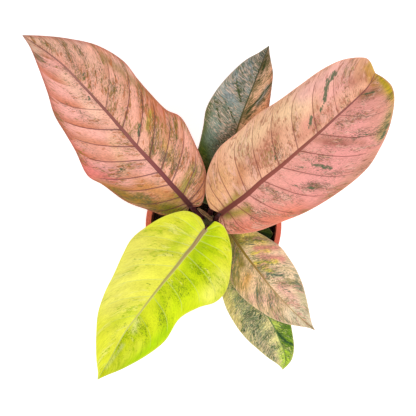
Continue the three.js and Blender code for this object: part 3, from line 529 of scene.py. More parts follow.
def blade_surface(leaf, place, v):
    """Middle surface of a blade. place runs over the side veins from the junction (0) round the lobe
    to the tip, v from -1 at the right margin over 0 on the midrib to 1 at the left margin. A point lies
    v of the way from the vein's foot to its end, lifted by fold, curl and wave. A vein bows back
    towards the base and hooks tipward near the margin, and the blade is quilted between veins."""
    rows = [[0] * 6, *leaf["veins"], [leaf["length"], 0] * 3]
    count = len(rows) - 1
    half = np.abs(v)
    ends = np.minimum(place / 2, 1) * np.minimum((count - place) / 2, 1)
    s = (place - leaf["bow"] * half * (1 - half**4) * ends) / count
    foot, aside, left_x, left_y, right_x, right_y = np.moveaxis(smooth_through(rows, s), -1, 0)
    rib_x = np.maximum(foot, 0)
    rib_y = np.where(rib_x > 0, aside, 0)
    rib_z = smooth_through(np.array(leaf["heights"], float)[:, None], rib_x / leaf["length"])[..., 0]
    left = v >= 0
    reach_x = np.where(left, left_x, right_x) - rib_x
    reach_y = np.where(left, left_y, -right_y) - rib_y
    width = np.hypot(reach_x, reach_y)
    fold, curl, wave, waves, phase = (
        np.where(left, of_left, of_right) for of_left, of_right in zip(leaf["left"], leaf["right"])
    )
    lift = width * (fold * half - curl * half**2)
    ripple = width * wave * half**2 * np.sin(2 * math.pi * waves * s + phase)
    crease = np.abs(np.sin(math.pi * place)) ** CREASE_POWER
    quilt = QUILT_HEIGHT * np.sin(math.pi * half) * np.minimum(width / QUILT_FULL_WIDTH, 1) * crease
    swing = VEIN_SWING * width * half * (1 - half)
    x = rib_x + reach_x * half - swing
    y = rib_y + reach_y * half
    return np.stack([x, y, rib_z + lift + ripple + quilt], -1), width, rib_x, rib_y


def stroke(x, y, reach, ax, ay, bx, by):
    """How strongly a brush stroke from a to b colours each point: 1 on its line, falling with the
    square of the distance over its reach"""
    bx, by = bx - ax, by - ay
    t = np.clip(((x - ax) * bx + (y - ay) * by) / (bx * bx + by * by), 0, 1)
    return np.exp(-((x - ax - t * bx) ** 2 + (y - ay - t * by) ** 2) / reach**2)


def blade_tissue(leaf, place, v, x, y):
    """The tissue's colours at each point of a blade: its tint, which is the half's own colour, its band
    colour beside side veins and then the washes laid over each other, how much of the skin each
    pattern covers, and the marks"""
    half = np.abs(v)
    left = smooth_step(v, -0.01, 0.01)[..., None]
    near_band, near_power, far_band, far_power = leaf["band"]
    past_vein = place - np.floor(place)
    beside = (1 - smooth_step(past_vein, 0.05, 0.6)) * smooth_step(half, 0.15, 0.5)
    tint = 0
    for side, base, band, power in (
        (left, leaf["base"][0], near_band, near_power), (1 - left, leaf["base"][1], far_band, far_power),
    ):
        share = (power * beside)[..., None]
        tint = tint + side * (linear(base) * (1 - share) + linear(band) * share)
    for colour, power, reach, *line in leaf["washes"]:
        share = (power * stroke(x, y, reach, *line))[..., None]
        tint = tint * (1 - share) + linear(colour) * share
    covers = [np.where(v >= 0, pattern[3], pattern[4]) for pattern in leaf["patterns"]]
    for pattern, more, reach, *line in leaf["clusters"]:
        covers[pattern] = covers[pattern] + more * stroke(x, y, reach, *line)
    mark = np.zeros_like(x)
    for share, reach, *line in leaf["marks"]:
        mark = np.maximum(mark, share * stroke(x, y, reach, *line))
    return tint, covers, mark


def make_blade(number, leaf):
    """A blade as a closed shell: its middle surface with a rounded ridge over the midrib, and below
    it the same grid a blade's thickness lower, with the midrib's keel"""
    count = len(leaf["veins"]) + 1
    u = np.linspace(-1, 1, 2 * HALF_COLUMNS + 1)
    place, v = np.meshgrid(
        np.linspace(0, count, count * ROWS_PER_VEIN + 1), np.sign(u) * np.abs(u) ** COLUMN_CROWDING,
        indexing="ij",
    )
    half = np.abs(v)
    middle, width, rib_x, rib_y = blade_surface(leaf, place, v)
    x, y = middle[..., 0], middle[..., 1]

    # The midrib's line, its half width and how far each point is from it
    centre = HALF_COLUMNS
    line_y = np.interp(x, rib_x[:, centre], rib_y[:, centre])
    from_rib = np.where(x > 0, np.abs(y - line_y), np.hypot(x, y))
    tipward = np.clip(x / leaf["length"], 0, 1)
    rib_width = leaf["rib_half"] * (1 - tipward) ** leaf["rib_taper"] + RIB_TIP_HALF
    on_rib, on_keel = (
        np.clip(1 - (from_rib / (spread * rib_width)) ** 2, 0, 1) ** RIB_ROUNDNESS
        for spread in (1, KEEL_SPREAD)
    )

    # Each point's distance, in half widths, from its side vein, square to it, or from the vein that runs
    # inside the margin and joins their ends. What is added makes side veins fade near margin and tip,
    # and the joining vein faint.
    by_place = np.gradient(middle, axis=0) * ROWS_PER_VEIN
    by_v = np.gradient(middle, axis=1)
    by_v /= np.maximum(np.linalg.norm(by_v, axis=-1), 1e-6)[..., None]
    spacing = np.linalg.norm(np.cross(by_place, by_v), axis=-1)
    nearest = np.round(place)
    vein_width = leaf["vein_half"] * (1.15 - 0.6 * half)
    near_margin = smooth_step(half, 0.8, 0.97)
    near_tip = smooth_step(place, count - 4, count - 1.5)
    vein = np.abs(place - nearest) * spacing / vein_width + 1.6 * near_margin + 1.2 * near_tip
    far_off = 9
    vein = np.where((nearest == 0) | (nearest == count), far_off, vein)
    to_margin = (1 - half) * width
    joining = np.abs(to_margin - JOINING_VEIN_INSET * width) / leaf["vein_half"] + 0.85
    vein = np.minimum(vein, joining)

    # The blade thins at its margin, and a midrib under 2 mm in half width has a lower ridge
    inward = smooth_step(1 - half, 0, MARGIN_SHARE)
    thickness = MARGIN_THICKNESS + (BLADE_THICKNESS - MARGIN_THICKNESS) * inward
    ridge = RIB_RIDGE * min(leaf["rib_half"] / 2, 1) * (1 - tipward)
    top = middle.copy()
    top[..., 2] += ridge * on_rib
    below = middle.copy()
    below[..., 2] -= thickness + RIB_KEEL * (1 - tipward) * on_keel

    # The grain runs with the side veins: millimetres across them, then millimetres along them
    step = np.linalg.norm(np.diff(middle[:, [centre // 3, -centre // 3]], axis=0), axis=-1)
    across = np.vstack([np.zeros((1, 2)), np.cumsum(step, axis=0)])
    across = np.where(v < 0, across[:, :1] + HALVES_APART, across[:, 1:])

    tint, covers, mark = blade_tissue(leaf, place, v, x, y)
    rib_tint = smooth_through([linear(colour) for colour in leaf["rib"]], tipward)

    points = np.concatenate([in_place(leaf, top.reshape(-1, 3)), in_place(leaf, below.reshape(-1, 3))])
    rows, columns = x.shape
    size = rows * columns
    above = grid_triangles(rows, columns)
    under = grid_triangles(rows, columns, size)[:, ::-1]
    sides = []
    for column, turn in ((0, 1), (columns - 1, -1)):
        a = np.arange(rows - 1) * columns + column
        strip = np.stack([a, a + columns + size, a + columns, a, a + size, a + columns + size], -1)
        sides.append(strip.reshape(-1, 3)[:, ::turn])

    def twice(*layers):
        """Layers of numbers side by side, for the points above and again for those below"""
        return np.tile(np.stack([np.broadcast_to(layer, x.shape).ravel() for layer in layers], -1), (2, 1))

    values = dict(
        grain=twice(across, v * width),
        tint=twice(*np.moveaxis(tint, -1, 0), 1),
        rib_tint=twice(*np.moveaxis(rib_tint, -1, 0), 1),
        cover=twice(*covers),
        lines=twice(vein, from_rib / rib_width, to_margin, mark),
        under=np.repeat([0.0, UNDERSIDE_SHARE], size),
    )
    make_piece(f"leaf_blade_{number}", points, np.concatenate([above, under, *sides]),
               leaf_skin(number, leaf), (f"blade_{number}",), values, sharp=50)


# Materials

COLOURS = dict(data_type="RGBA")
SMOOTH = dict(interpolation_type="SMOOTHSTEP")


def add(tree, kind, sockets, **settings):
    """Adds a node and returns its outputs. settings are the node's properties; sockets maps an input to
    another node's output, a number, a vector or an sRGB hex colour."""
    node = tree.nodes.new("ShaderNode" + kind)
    for key, value in settings.items():
        setattr(node, key, value)
    for key, value in sockets.items():
        if isinstance(value, bpy.types.NodeSocket):
            tree.links.new(value, node.inputs[key])
        else:
            node.inputs[key].default_value = (*linear(value), 1) if isinstance(value, str) else value
    return node.outputs


def mottle(tree, below, over, place, size, seed, low, high, strength=1.0, more=0.0):
    """Lays one colour over another where a noise, raised by more, goes from low to high. size is its
    blotches' size in the unit of place. Gives the colour and the noise."""
    moved = add(tree, "Mapping", {0: place, 1: (seed, seed / 3, seed / 7),
                                  3: tuple(1 / side for side in size)})[0]
    noise = add(tree, "TexNoise", {"Vector": moved, "Scale": 1.0, "Detail": 3.5, "Roughness": 0.6})[0]
    raised = add(tree, "Math", {0: noise, 1: more}, operation="ADD")[0]
    share = add(tree, "MapRange", {0: raised, 1: low, 2: high, 3: 0.0, 4: strength}, **SMOOTH)[0]
    return add(tree, "Mix", {0: share, 6: below, 7: over}, **COLOURS)[2], noise


def new_material(name):
    """An empty node material and its tree"""
    material = bpy.data.materials.new(name)
    material.use_nodes = True
    material.node_tree.nodes.clear()
    return material, material.node_tree


def finish(tree, colour, tone, smoothest, roughest, height, depth, **constants):
    """Ends a material: roughness that follows a noise, relief depth millimetres deep, and the shader"""
    roughness = add(tree, "MapRange", {0: tone, 1: 0.3, 2: 0.7, 3: smoothest, 4: roughest})[0]
    relief = add(tree, "Bump", {"Height": height, "Distance": depth * MM, "Strength": 0.6})[0]
    shader = add(tree, "BsdfPrincipled", {
        "Base Color": colour, "Roughness": roughness, "Normal": relief, **constants,
    })[0]
    add(tree, "OutputMaterial", {0: shader})


def leaf_skin(number, leaf):
    """Living anthurium blade: a waxy cuticle over tissue of several tones. The eye sees sectors,
    streaks and freckles that run with the side veins, darker veins and a satin sheen."""
    material, tree = new_material(f"leaf_skin_{number}")
    grain = add(tree, "UVMap", {}, uv_map="grain")[0]
    tint = add(tree, "Attribute", {}, attribute_name="tint")["Color"]
    rib_tint = add(tree, "Attribute", {}, attribute_name="rib_tint")["Color"]
    under = add(tree, "Attribute", {}, attribute_name="under")["Fac"]
    cover = add(tree, "Attribute", {}, attribute_name="cover")
    lines = add(tree, "Attribute", {}, attribute_name="lines")
    vein, rib, margin = add(tree, "SeparateColor", {0: lines["Color"]})

    # The tissue grew unevenly, so its grain wanders a few millimetres, and its tone has clouds some
    # 14 mm by 30 mm and a grit of 1.1 mm by 3 mm
    wander = add(tree, "TexNoise", {"Vector": grain, "Scale": 0.07, "Detail": 3.0})["Color"]
    place = add(tree, "VectorMath", {0: wander, 1: (7, 14, 0), 2: grain}, operation="MULTIPLY_ADD")[0]
    cloud_place = add(tree, "Mapping", {0: place, 1: (number, 0, 0), 3: (1 / 14, 1 / 30, 1)})[0]
    cloud = add(tree, "TexNoise", {"Vector": cloud_place, "Scale": 1.0, "Detail": 3.0})[0]
    fine_place = add(tree, "Mapping", {0: place, 3: (1 / 1.1, 1 / 3, 1)})[0]
    fine = add(tree, "TexNoise", {"Vector": fine_place, "Scale": 1.0, "Detail": 3.0})[0]
    tone = add(tree, "MapRange", {0: cloud, 1: 0.35, 2: 0.65, 3: 0.88, 4: 1.1})[0]
    colour = add(tree, "VectorMath", {0: tint, "Scale": tone}, operation="SCALE")[0]
    gather = add(tree, "MapRange", {0: cloud, 1: 0.3, 2: 0.7, 3: 0.12, 4: -0.12})[0]

    # Broken tissue, and the dark sectors as one more pattern that covers its own strokes. A pattern
    # shows where its noise, raised by half its cover and a little more where the clouds gather it,
    # passes a threshold.
    shows_from, full_from = 0.74, 0.84
    shares = [*add(tree, "SeparateColor", {0: cover["Color"]}), cover["Alpha"], lines["Alpha"]]
    patterns = [*leaf["patterns"], (leaf["mark"], 1.3, 4, 0, 0, 0.9)]
    for step, (share, (over, across, along, _, _, strength)) in enumerate(zip(shares, patterns)):
        more = add(tree, "Math", {0: share, 1: 0.5, 2: gather}, operation="MULTIPLY_ADD")[0]
        seed = 3.1 * number + 7.7 * step
        colour, _ = mottle(tree, colour, over, place, (across, along, 1), seed,
                           shows_from, full_from, strength, more)

    # The grit darkens more than it lightens
    dark, bright = 1 - leaf["grit"], 1 + 0.7 * leaf["grit"]
    grit = add(tree, "MapRange", {0: fine, 1: 0.35, 2: 0.65, 3: dark, 4: bright})[0]
    colour = add(tree, "VectorMath", {0: colour, "Scale": grit}, operation="SCALE")[0]

    # Side veins, a line at the margin, and the midrib with fibres along it
    power = leaf["vein_power"]
    on_vein = add(tree, "MapRange", {0: vein, 1: 0.4, 2: 1.6, 3: power, 4: 0.0}, **SMOOTH)[0]
    colour = add(tree, "Mix", {0: on_vein, 6: colour, 7: leaf["vein"]}, **COLOURS)[2]
    at_margin = add(tree, "MapRange", {0: margin, 1: 0.2, 2: leaf["edge_width"], 3: 0.55, 4: 0.0})[0]
    colour = add(tree, "Mix", {0: at_margin, 6: colour, 7: leaf["edge"]}, **COLOURS)[2]
    rib_colour, _ = mottle(tree, rib_tint, leaf["vein"], grain, (25, 0.7, 1), 9.0, 0.45, 0.65, 0.4)
    at_rib_side = add(tree, "MapRange", {0: rib, 1: 0.5, 2: 1.0, 3: 0.0, 4: 0.75}, **SMOOTH)[0]
    rib_colour = add(tree, "Mix", {0: at_rib_side, 6: rib_colour, 7: leaf["vein"]}, **COLOURS)[2]
    on_rib = add(tree, "MapRange", {0: rib, 1: 0.9, 2: 1.08, 3: 1.0, 4: 0.0}, **SMOOTH)[0]
    colour = add(tree, "Mix", {0: on_rib, 6: colour, 7: rib_colour}, **COLOURS)[2]

    # The underside is duller and paler. The relief is the net of small veins, some 2.5 mm by 4 mm.
    colour = add(tree, "Mix", {0: under, 6: colour, 7: leaf["back"]}, **COLOURS)[2]
    net_place = add(tree, "Mapping", {0: place, 3: (0.4, 0.25, 1)})[0]
    net = add(tree, "TexVoronoi", {"Vector": net_place, "Scale": 1.0}, feature="DISTANCE_TO_EDGE")[0]
    relief = add(tree, "MapRange", {0: net, 1: 0.0, 2: 0.2, 3: 0.0, 4: 0.6}, **SMOOTH)[0]
    relief = add(tree, "Math", {0: relief, 1: fine}, operation="ADD")[0]
    finish(tree, colour, fine, 0.42, 0.58, relief, 0.15, IOR=1.45, **{"Specular IOR Level": 0.1})
    return material


def petiole_skin():
    """Petiole of an anthurium: smooth skin, dark maroon with paler lengthwise streaks, small purple-grey
    flecks of painted highlight and a satin sheen. Streaks are 0.8 mm wide."""
    material, tree = new_material("petiole_skin")
    grain = add(tree, "UVMap", {}, uv_map="grain")[0]
    colour, streak = mottle(tree, "#34121A", "#6A2C34", grain, (0.8, 14, 1), 2.0, 0.35, 0.7)
    # Purple-grey flecks #806068 are painted highlights
    colour, _ = mottle(tree, colour, "#806068", grain, (0.7, 1.6, 1), 5.0, 0.6, 0.7, 0.4)
    finish(tree, colour, streak, 0.36, 0.5, streak, 0.2, IOR=1.45, **{"Specular IOR Level": 0.35})
    return material


def pot_plastic():
    """Injection-moulded polypropylene in terracotta colour: satin, slightly cloudy skin with dust of
    1.2 mm grains, drawn coarser than real dust so that it shows. The inner wall turns blotchy dark brown
    from a little below the rim down."""
    material, tree = new_material("pot_polypropylene")
    place = add(tree, "TexCoord", {})["Object"]
    inner_darkening = add(tree, "Attribute", {}, attribute_name="inner_darkening")["Fac"]
    colour, cloud = mottle(tree, "#EA7056", "#F48A72", place, (0.03, 0.03, 0.02), 1.0, 0.3, 0.7)
    colour, grit = mottle(tree, colour, "#B98A74", place, (0.0012, 0.0012, 0.0012), 4.0, 0.62, 0.72, 0.35)
    # Dark brown blotches on the inner wall, raised where the inner wall is darkened below the rim
    colour, _ = mottle(tree, colour, "#2A1610", place, (0.004, 0.004, 0.003), 7.0, 0.75, 0.95, 0.95, inner_darkening)
    finish(tree, colour, cloud, 0.4, 0.54, grit, 0.1, IOR=1.49)
    return material


def potting_mix():
    """Moist peat and bark fines: nearly black crumb with brown fibres, no sheen"""
    material, tree = new_material("peat_and_bark")
    place = add(tree, "TexCoord", {})["Object"]
    tone = add(tree, "Attribute", {}, attribute_name="tone")["Fac"]
    colour, crumb = mottle(tree, "#0C0706", "#2A1A14", place, (0.0022, 0.0022, 0.0022), 1.0, 0.4, 0.65)
    bark = add(tree, "MapRange", {0: tone, 1: 0.55, 2: 1.0, 3: 0.0, 4: 0.7})[0]
    colour = add(tree, "Mix", {0: bark, 6: colour, 7: "#6E4A34"}, **COLOURS)[2]
    colour, _ = mottle(tree, colour, "#806048", place, (0.004, 0.0009, 0.002), 6.0, 0.62, 0.7, 0.45)
    finish(tree, colour, crumb, 0.75, 0.95, crumb, 0.8, IOR=1.4, **{"Specular IOR Level": 0.2})
    return material


def dry_tissue(name, dark, pale, roughness):
    """Dead plant tissue, dry as paper: matt brown with lengthwise fibres 0.6 mm apart"""
    material, tree = new_material(name)
    grain = add(tree, "UVMap", {}, uv_map="grain")[0]
    colour, fibre = mottle(tree, dark, pale, grain, (0.6, 9, 1), 3.0, 0.35, 0.65)
    colour, _ = mottle(tree, colour, dark, grain, (3, 8, 1), 8.0, 0.5, 0.7, 0.5)
    finish(tree, colour, fibre, roughness, roughness + 0.15, fibre, 0.3, IOR=1.4)
    return material


# Pieces

def pot_inner_radius(z):
    """Radius of the pot's inner wall at a height, which grows evenly from its foot to the rim"""
    return POT_INNER_BASE + (WALL_TOP_RADIUS - POT_INNER_BASE) * z / POT_HEIGHT


def make_pot():
    """The pot's profile turned round its axis. The rim's flat top carries shallow grooves, whose depth
    follows a sine squared across it. Then the drain holes are drilled."""
    under_rim = POT_HEIGHT - POT_WALL
    skirt_foot = POT_HEIGHT - SKIRT_DEPTH
    skirt_inner = RIM_RADIUS - POT_WALL
    quarter = np.linspace(0, math.pi / 2, 6)
    outer_round = np.stack([RIM_RADIUS - RIM_ROUND * (1 - np.cos(quarter)),
                            POT_HEIGHT - RIM_ROUND * (1 - np.sin(quarter))], -1)
    inner_round = np.stack([WALL_TOP_RADIUS + RIM_ROUND * (1 - np.sin(quarter)),
                            POT_HEIGHT - RIM_ROUND * (1 - np.cos(quarter))], -1)
    flat = np.linspace(0, 1, RIM_GROOVES * 8 + 1)[1:-1]
    grooved = np.stack([
        RIM_RADIUS - RIM_ROUND - flat * (RIM_WIDTH - 2 * RIM_ROUND),
        POT_HEIGHT - GROOVE_DEPTH * np.sin(RIM_GROOVES * math.pi * flat) ** 2,
    ], -1)
    foot_round = np.stack([BASE_RADIUS - FOOT_ROUND * (1 - np.sin(quarter)),
                           FOOT_ROUND * (1 - np.cos(quarter))], -1)
    wall_heights = np.linspace(FOOT_ROUND, under_rim, 12)[1:]
    wall = np.stack([pot_inner_radius(wall_heights) + POT_WALL, wall_heights], -1)
    inner_heights = np.linspace(POT_HEIGHT - RIM_ROUND, FLOOR_THICKNESS, 40)[1:]
    inner = np.stack([pot_inner_radius(inner_heights), inner_heights], -1)
    outside = np.concatenate([
        [[0, 0]], foot_round, wall, [[skirt_inner, under_rim], [skirt_inner, skirt_foot]],
        [[RIM_RADIUS - SKIRT_DRAFT, skirt_foot]], outer_round, grooved, inner_round,
    ])
    profile = np.concatenate([outside, inner, [[0, FLOOR_THICKNESS]]])
    segments = 180
    points, triangles = turned(profile, segments)
    inside = np.arange(len(profile)) >= len(outside)
    # The inner wall darkens from about 1 mm below the rim downwards, fully from 4 mm down
    inner_darkening = np.where(inside, 0.5 * smooth_step(POT_HEIGHT - profile[:, 1], 0.8, 4), 0)
    pot = make_piece("nursery_pot", points, triangles, pot_plastic(), ("pot",),
                     dict(inner_darkening=np.repeat(inner_darkening, segments + 1)), sharp=38)

    rod = turned([[0, -3], [HOLE_RADIUS, -3], [HOLE_RADIUS, 6], [0, 6]], 40)
    angles = (np.arange(HOLE_COUNT) + 0.5) * 2 * math.pi / HOLE_COUNT
    centres = HOLE_RING * np.stack([np.cos(angles), np.sin(angles), 0 * angles], -1)
    rods = (rod[0][None] + centres[:, None]).reshape(-1, 3)
    ends = (rod[1][None] + len(rod[0]) * np.arange(HOLE_COUNT)[:, None, None]).reshape(-1, 3)
    drill = make_piece("drill", rods, ends, pot.data.materials[0])
    cut = pot.modifiers.new("drain_holes", "BOOLEAN")
    cut.object = drill
    cut.operation = "DIFFERENCE"
    cut.solver = "EXACT"
    bpy.context.view_layer.update()
    drilled = bpy.data.meshes.new_from_object(pot.evaluated_get(bpy.context.evaluated_depsgraph_get()))
    pot.modifiers.clear()
    pot.data = drilled
    bpy.data.objects.remove(drill)


def mix_surface(x, y):
    """Height of the mix without its crumb: two products of sines, some 30 mm and 10 mm long"""
    long = np.sin(x * 0.21 + 1.3) * np.cos(y * 0.17 - 0.4)
    short = np.sin(x * 0.55 - y * 0.31 + 2) * np.cos(y * 0.6 + 0.7)
    return MIX_TOP + MIX_RELIEF * (long + 0.5 * short)


def make_mix(material):
    """A tapered plug under a crumbly top, and on it chips: icosahedron lumps squashed and turned at
    random, half sunk"""
    random = np.random.default_rng(11)
    foot = FLOOR_THICKNESS + MIX_OVER_FLOOR
    foot_radius = pot_inner_radius(foot) - MIX_FOOT_GAP
    top_radius = pot_inner_radius(MIX_TOP) - MIX_TOP_GAP
    rings, sectors = 60, 160
    radius, angle = np.meshgrid(np.linspace(0, top_radius, rings), np.linspace(0, 2 * math.pi, sectors + 1),
                                indexing="ij")
    x, y = radius * np.cos(angle), radius * np.sin(angle)
    crumb = MIX_CRUMB * random.standard_normal(x.shape)
    crumb[:, -1] = crumb[:, 0]
    crumb[0] = 0
    crumb[-1] = 0
    top = np.stack([x, y, mix_surface(x, y) + crumb], -1)
    wall = top[-1:] * (1, 1, 0) * foot_radius / top_radius + (0, 0, foot)
    bottom = wall * (0, 0, 1)
    plug = np.concatenate([top, wall, bottom]).reshape(-1, 3)
    triangles = [grid_triangles(rings + 2, sectors + 1)]

    # An icosahedron's corners are those of three golden rectangles, and its edges are 1.05 radii long
    golden = (1 + math.sqrt(5)) / 2
    corners = np.array([[0, a, b * golden] for a in (-1, 1) for b in (-1, 1)], float)
    corners = np.concatenate([np.roll(corners, turn, axis=1) for turn in range(3)])
    corners /= np.linalg.norm(corners[0])
    apart = np.linalg.norm(corners[:, None] - corners[None], axis=-1)
    close = apart < 1.1
    faces = np.array([(i, j, k) for i in range(len(corners)) for j in range(i) for k in range(j)
                      if close[i, j] and close[j, k] and close[i, k]])
    a, b, c = np.moveaxis(corners[faces], 1, 0)
    inward = (np.cross(b - a, c - a) * a).sum(1) < 0
    faces[inward] = faces[inward][:, ::-1]

    chip_radius = (top_radius - 3) * np.sqrt(random.random(CHIP_COUNT))
    chip_angle = 2 * math.pi * random.random(CHIP_COUNT)
    size = CHIP_SMALLEST + (CHIP_LARGEST - CHIP_SMALLEST) * random.random(CHIP_COUNT) ** 3
    squash = np.stack([np.ones(CHIP_COUNT), 0.35 + 0.5 * random.random(CHIP_COUNT),
                       0.25 + 0.3 * random.random(CHIP_COUNT)], -1)
    lump = corners * (1 + 0.22 * random.standard_normal((CHIP_COUNT, len(corners), 1)))
    lump = lump * (size[:, None] * squash)[:, None]
    tilt = 0.5 * random.standard_normal(CHIP_COUNT)
    c, s, zero, one = np.cos(tilt), np.sin(tilt), np.zeros(CHIP_COUNT), np.ones(CHIP_COUNT)
    tip_over = np.stack([c, zero, s, zero, one, zero, -s, zero, c], -1).reshape(-1, 3, 3)
    turn = 2 * math.pi * random.random(CHIP_COUNT)
    c, s = np.cos(turn), np.sin(turn)
    spin = np.stack([c, -s, zero, s, c, zero, zero, zero, one], -1).reshape(-1, 3, 3)
    lump = np.einsum("nij,njk,nvk->nvi", spin, tip_over, lump)
    x, y = chip_radius * np.cos(chip_angle), chip_radius * np.sin(chip_angle)
    lump += np.stack([x, y, mix_surface(x, y) + 0.15 * size], -1)[:, None]
    starts = len(plug) + len(corners) * np.arange(CHIP_COUNT)
    triangles.append((faces[None] + starts[:, None, None]).reshape(-1, 3))
    points = np.concatenate([plug, lump.reshape(-1, 3)])
    tone = np.concatenate([np.zeros(len(plug)), np.repeat(random.random(CHIP_COUNT), len(corners))])
    make_piece("potting_mix_and_bark", points, np.concatenate(triangles), material, ("potting_mix",),
               dict(tone=tone), sharp=35)


def make_stem(material):
    """A short trunk turned round its axis: rings at the old leaf scars, each a smooth step out, and
    a rounded growing tip; its skin swells by a few low waves round it"""
    heights = np.linspace(STEM_START, STEM_TOP, 90)
    radius = np.full_like(heights, STEM_RADIUS - SCAR_STEP)
    for scar in SCAR_HEIGHTS:
        radius += SCAR_STEP * np.exp(-np.clip(scar - heights, 0, None) / SCAR_FADE) * (heights <= scar)
    cap = np.clip((heights - (STEM_TOP - STEM_TIP)) / STEM_TIP, 0, 1)
    radius *= np.sqrt(np.clip(1 - cap**2, 0, 1))
    angle = np.linspace(0, 2 * math.pi, 49)
    swell = 1 + 0.03 * np.sin(3 * angle + 0.1 * heights[:, None]) + 0.02 * np.sin(7 * angle)
    section = (radius[:, None] * swell)[..., None] * np.stack([np.cos(angle), np.sin(angle)], -1)
    path = np.stack([0 * heights + STEM_PLACE[0], 0 * heights + STEM_PLACE[1], heights], -1)
    points, triangles, grain = carried(path, section, np.array([1.0, 0, 0]))
    make_piece("stem_with_scars", points, triangles, material, ("stem",), dict(grain=grain))


def make_petiole(number, leaf, material):
    """A stalk along a cubic from the stem to under the blade's junction, then bent over into the
    midrib. It thins upwards and has a slight swelling below the blade."""
    heading = math.radians(leaf["heading"])
    stalk = leaf["stalk"]
    forward = np.array([math.cos(heading), math.sin(heading), 0])
    start = np.array([*STEM_PLACE, stalk["height"]])
    junction = np.array(leaf["junction"], float)
    end = junction - (0, 0, HUB_DEPTH)
    end_way = stalk["arrive"] * forward + (0, 0, 1)
    end_way /= np.linalg.norm(end_way)
    reach = np.linalg.norm(end - start) / 3
    leave = np.array(stalk["leave"], float)
    bends = (start, start + leave / np.linalg.norm(leave) * reach, end - end_way * reach, end)
    before_bend = 0.86
    t = np.linspace(0, before_bend, 12)[:, None]
    path = ((1 - t) ** 3 * bends[0] + 3 * (1 - t) ** 2 * t * bends[1]
            + 3 * (1 - t) * t**2 * bends[2] + t**3 * bends[3])
    into = leaf["rib_half"]
    rise = (leaf["heights"][1] - leaf["heights"][0]) / (leaf["length"] / 4)
    keys = np.concatenate([
        path, [junction + (0, 0, -0.6 * into)],
        [junction + forward * 3 * into + (0, 0, (3 * rise - 0.85) * into)],
    ])
    share = np.linspace(0, 1, 64)
    path = smooth_through(keys, share)
    radius = PETIOLE_FOOT_RADIUS + (PETIOLE_TOP_RADIUS - PETIOLE_FOOT_RADIUS) * share
    radius = radius * stalk["radius"] * (1 + 0.1 * np.exp(-((share - 0.8) / 0.08) ** 2))
    radius = radius * (1 - 0.6 * smooth_step(share, 0.88, 1))
    sideways = np.cross(forward, (0, 0, 1.0))
    points, triangles, grain = tube(path, radius, sideways, 28, 0.08)
    make_piece(f"petiole_stalk_{number}", points, triangles, material, (f"petiole_{number}",),
               dict(grain=grain))


def make_sheath(material):
    """A papery channel: an arch carried along its path, with a torn upper end"""
    widest = 1.9
    thickness = 0.5
    keys = np.array([(-2, 5, 128), (-5, 8, 131.5), (-9.5, 11.5, 137), (-15, 16, 143.5)], float)
    share = np.linspace(0, 1, 50)
    path = smooth_through(keys, share)
    u = np.linspace(-1, 1, 17)
    curl = 1 + 0.25 * np.sin(share * 9)[:, None]
    half_width = widest * np.sqrt(np.clip(1.02 - share[:, None] ** 6, 0, 1))
    rise = 1.6 * (1 - u**2) * curl + 0.15 * np.sin(u * 21 + share[:, None] * 4)
    upper = np.stack([half_width * u, rise], -1)
    lower = np.stack([half_width * u, rise - thickness], -1)
    section = np.concatenate([lower, upper[:, ::-1], lower[:, :1]], 1)
    points, triangles, grain = carried(path, section, np.array([-0.65, -0.76, 0]))
    make_piece("papery_sheath", points, triangles, material, ("dry_sheath",),
               dict(grain=grain), sharp=50)


def make_straw(material):
    """A split bit of straw: a thin tube along a slightly bowed line"""
    share = np.linspace(0, 1, 16)[:, None]
    path = np.array([52.5, -4, 98.0]) * (1 - share) + np.array([57, -9, 98.8]) * share
    path = path + np.array([0.3, 0.3, 0.2]) * np.sin(math.pi * share)
    thickest = 0.65
    radius = thickest * (1 - 0.3 * share[:, 0] ** 4)
    points, triangles, grain = tube(path, radius, np.array([0, 0, 1.0]), 12)
    make_piece("straw_bit", points, triangles, material, ("straw",), dict(grain=grain))


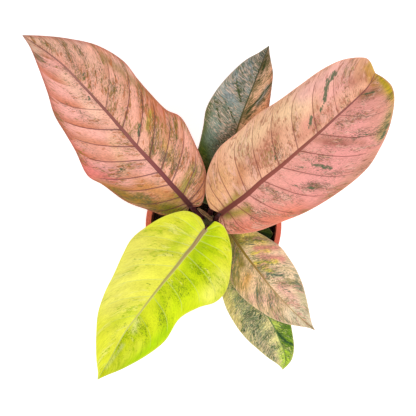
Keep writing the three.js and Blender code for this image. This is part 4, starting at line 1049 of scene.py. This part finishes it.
make_pot()
make_mix(potting_mix())
make_stem(dry_tissue("green_bark", "#34301A", "#625A38", 0.6))
make_sheath(dry_tissue("papery_bract", "#5C3E28", "#B89068", 0.7))
make_straw(dry_tissue("straw_stalk", "#9C8850", "#D6C68A", 0.55))
stalk_skin = petiole_skin()
for number, leaf in enumerate(LEAVES, 1):
    make_petiole(number, leaf, stalk_skin)
    make_blade(number, leaf)

# Studio
camera_data = bpy.data.cameras.new("camera")
camera_data.sensor_width = SENSOR_WIDTH
camera_data.lens = SENSOR_WIDTH * CAMERA_ABOVE_RIM / PICTURE_WIDTH_AT_RIM
camera = bpy.data.objects.new("camera", camera_data)
camera.location = [value * MM for value in CAMERA_PLACE]
scene.collection.objects.link(camera)
scene.camera = camera

paper, paper_tree = new_material("white_paper")
paper_place = add(paper_tree, "TexCoord", {})["Object"]
paper_colour, fibres = mottle(paper_tree, "#F8F8F8", "#FBFBFB", paper_place, (0.2, 0.2, 0.2), 1.0, 0.3, 0.7)
finish(paper_tree, paper_colour, fibres, 0.85, 0.95, fibres, 0.05,
       **{"Emission Color": "#FFFFFF", "Emission Strength": 0.45})
paper_half = 6000
paper_corners = paper_half * np.array([[-1, -1, 0], [1, -1, 0], [-1, 1, 0], [1, 1, 0]], float)
floor = make_piece("paper_floor", paper_corners, grid_triangles(2, 2)[:, ::-1], paper)

# Soft light from all round, and two broad lamps: strength, width in degrees, lean and turn
world = bpy.data.worlds.new("soft_box")
world.use_nodes = True
sky = world.node_tree.nodes["Background"]
sky.inputs["Color"].default_value = (1, 1, 1, 1)
sky.inputs["Strength"].default_value = 0.52
scene.world = world
for name, strength, size, lean, turn in (("key", 1.6, 50, 38, 40), ("fill", 0.5, 90, 30, 220)):
    sun = bpy.data.lights.new(name, "SUN")
    sun.energy = strength
    sun.angle = math.radians(size)
    lamp = bpy.data.objects.new(name, sun)
    lamp.rotation_euler = (math.radians(lean), 0, math.radians(turn))
    scene.collection.objects.link(lamp)
scene.view_settings.view_transform = "Standard"
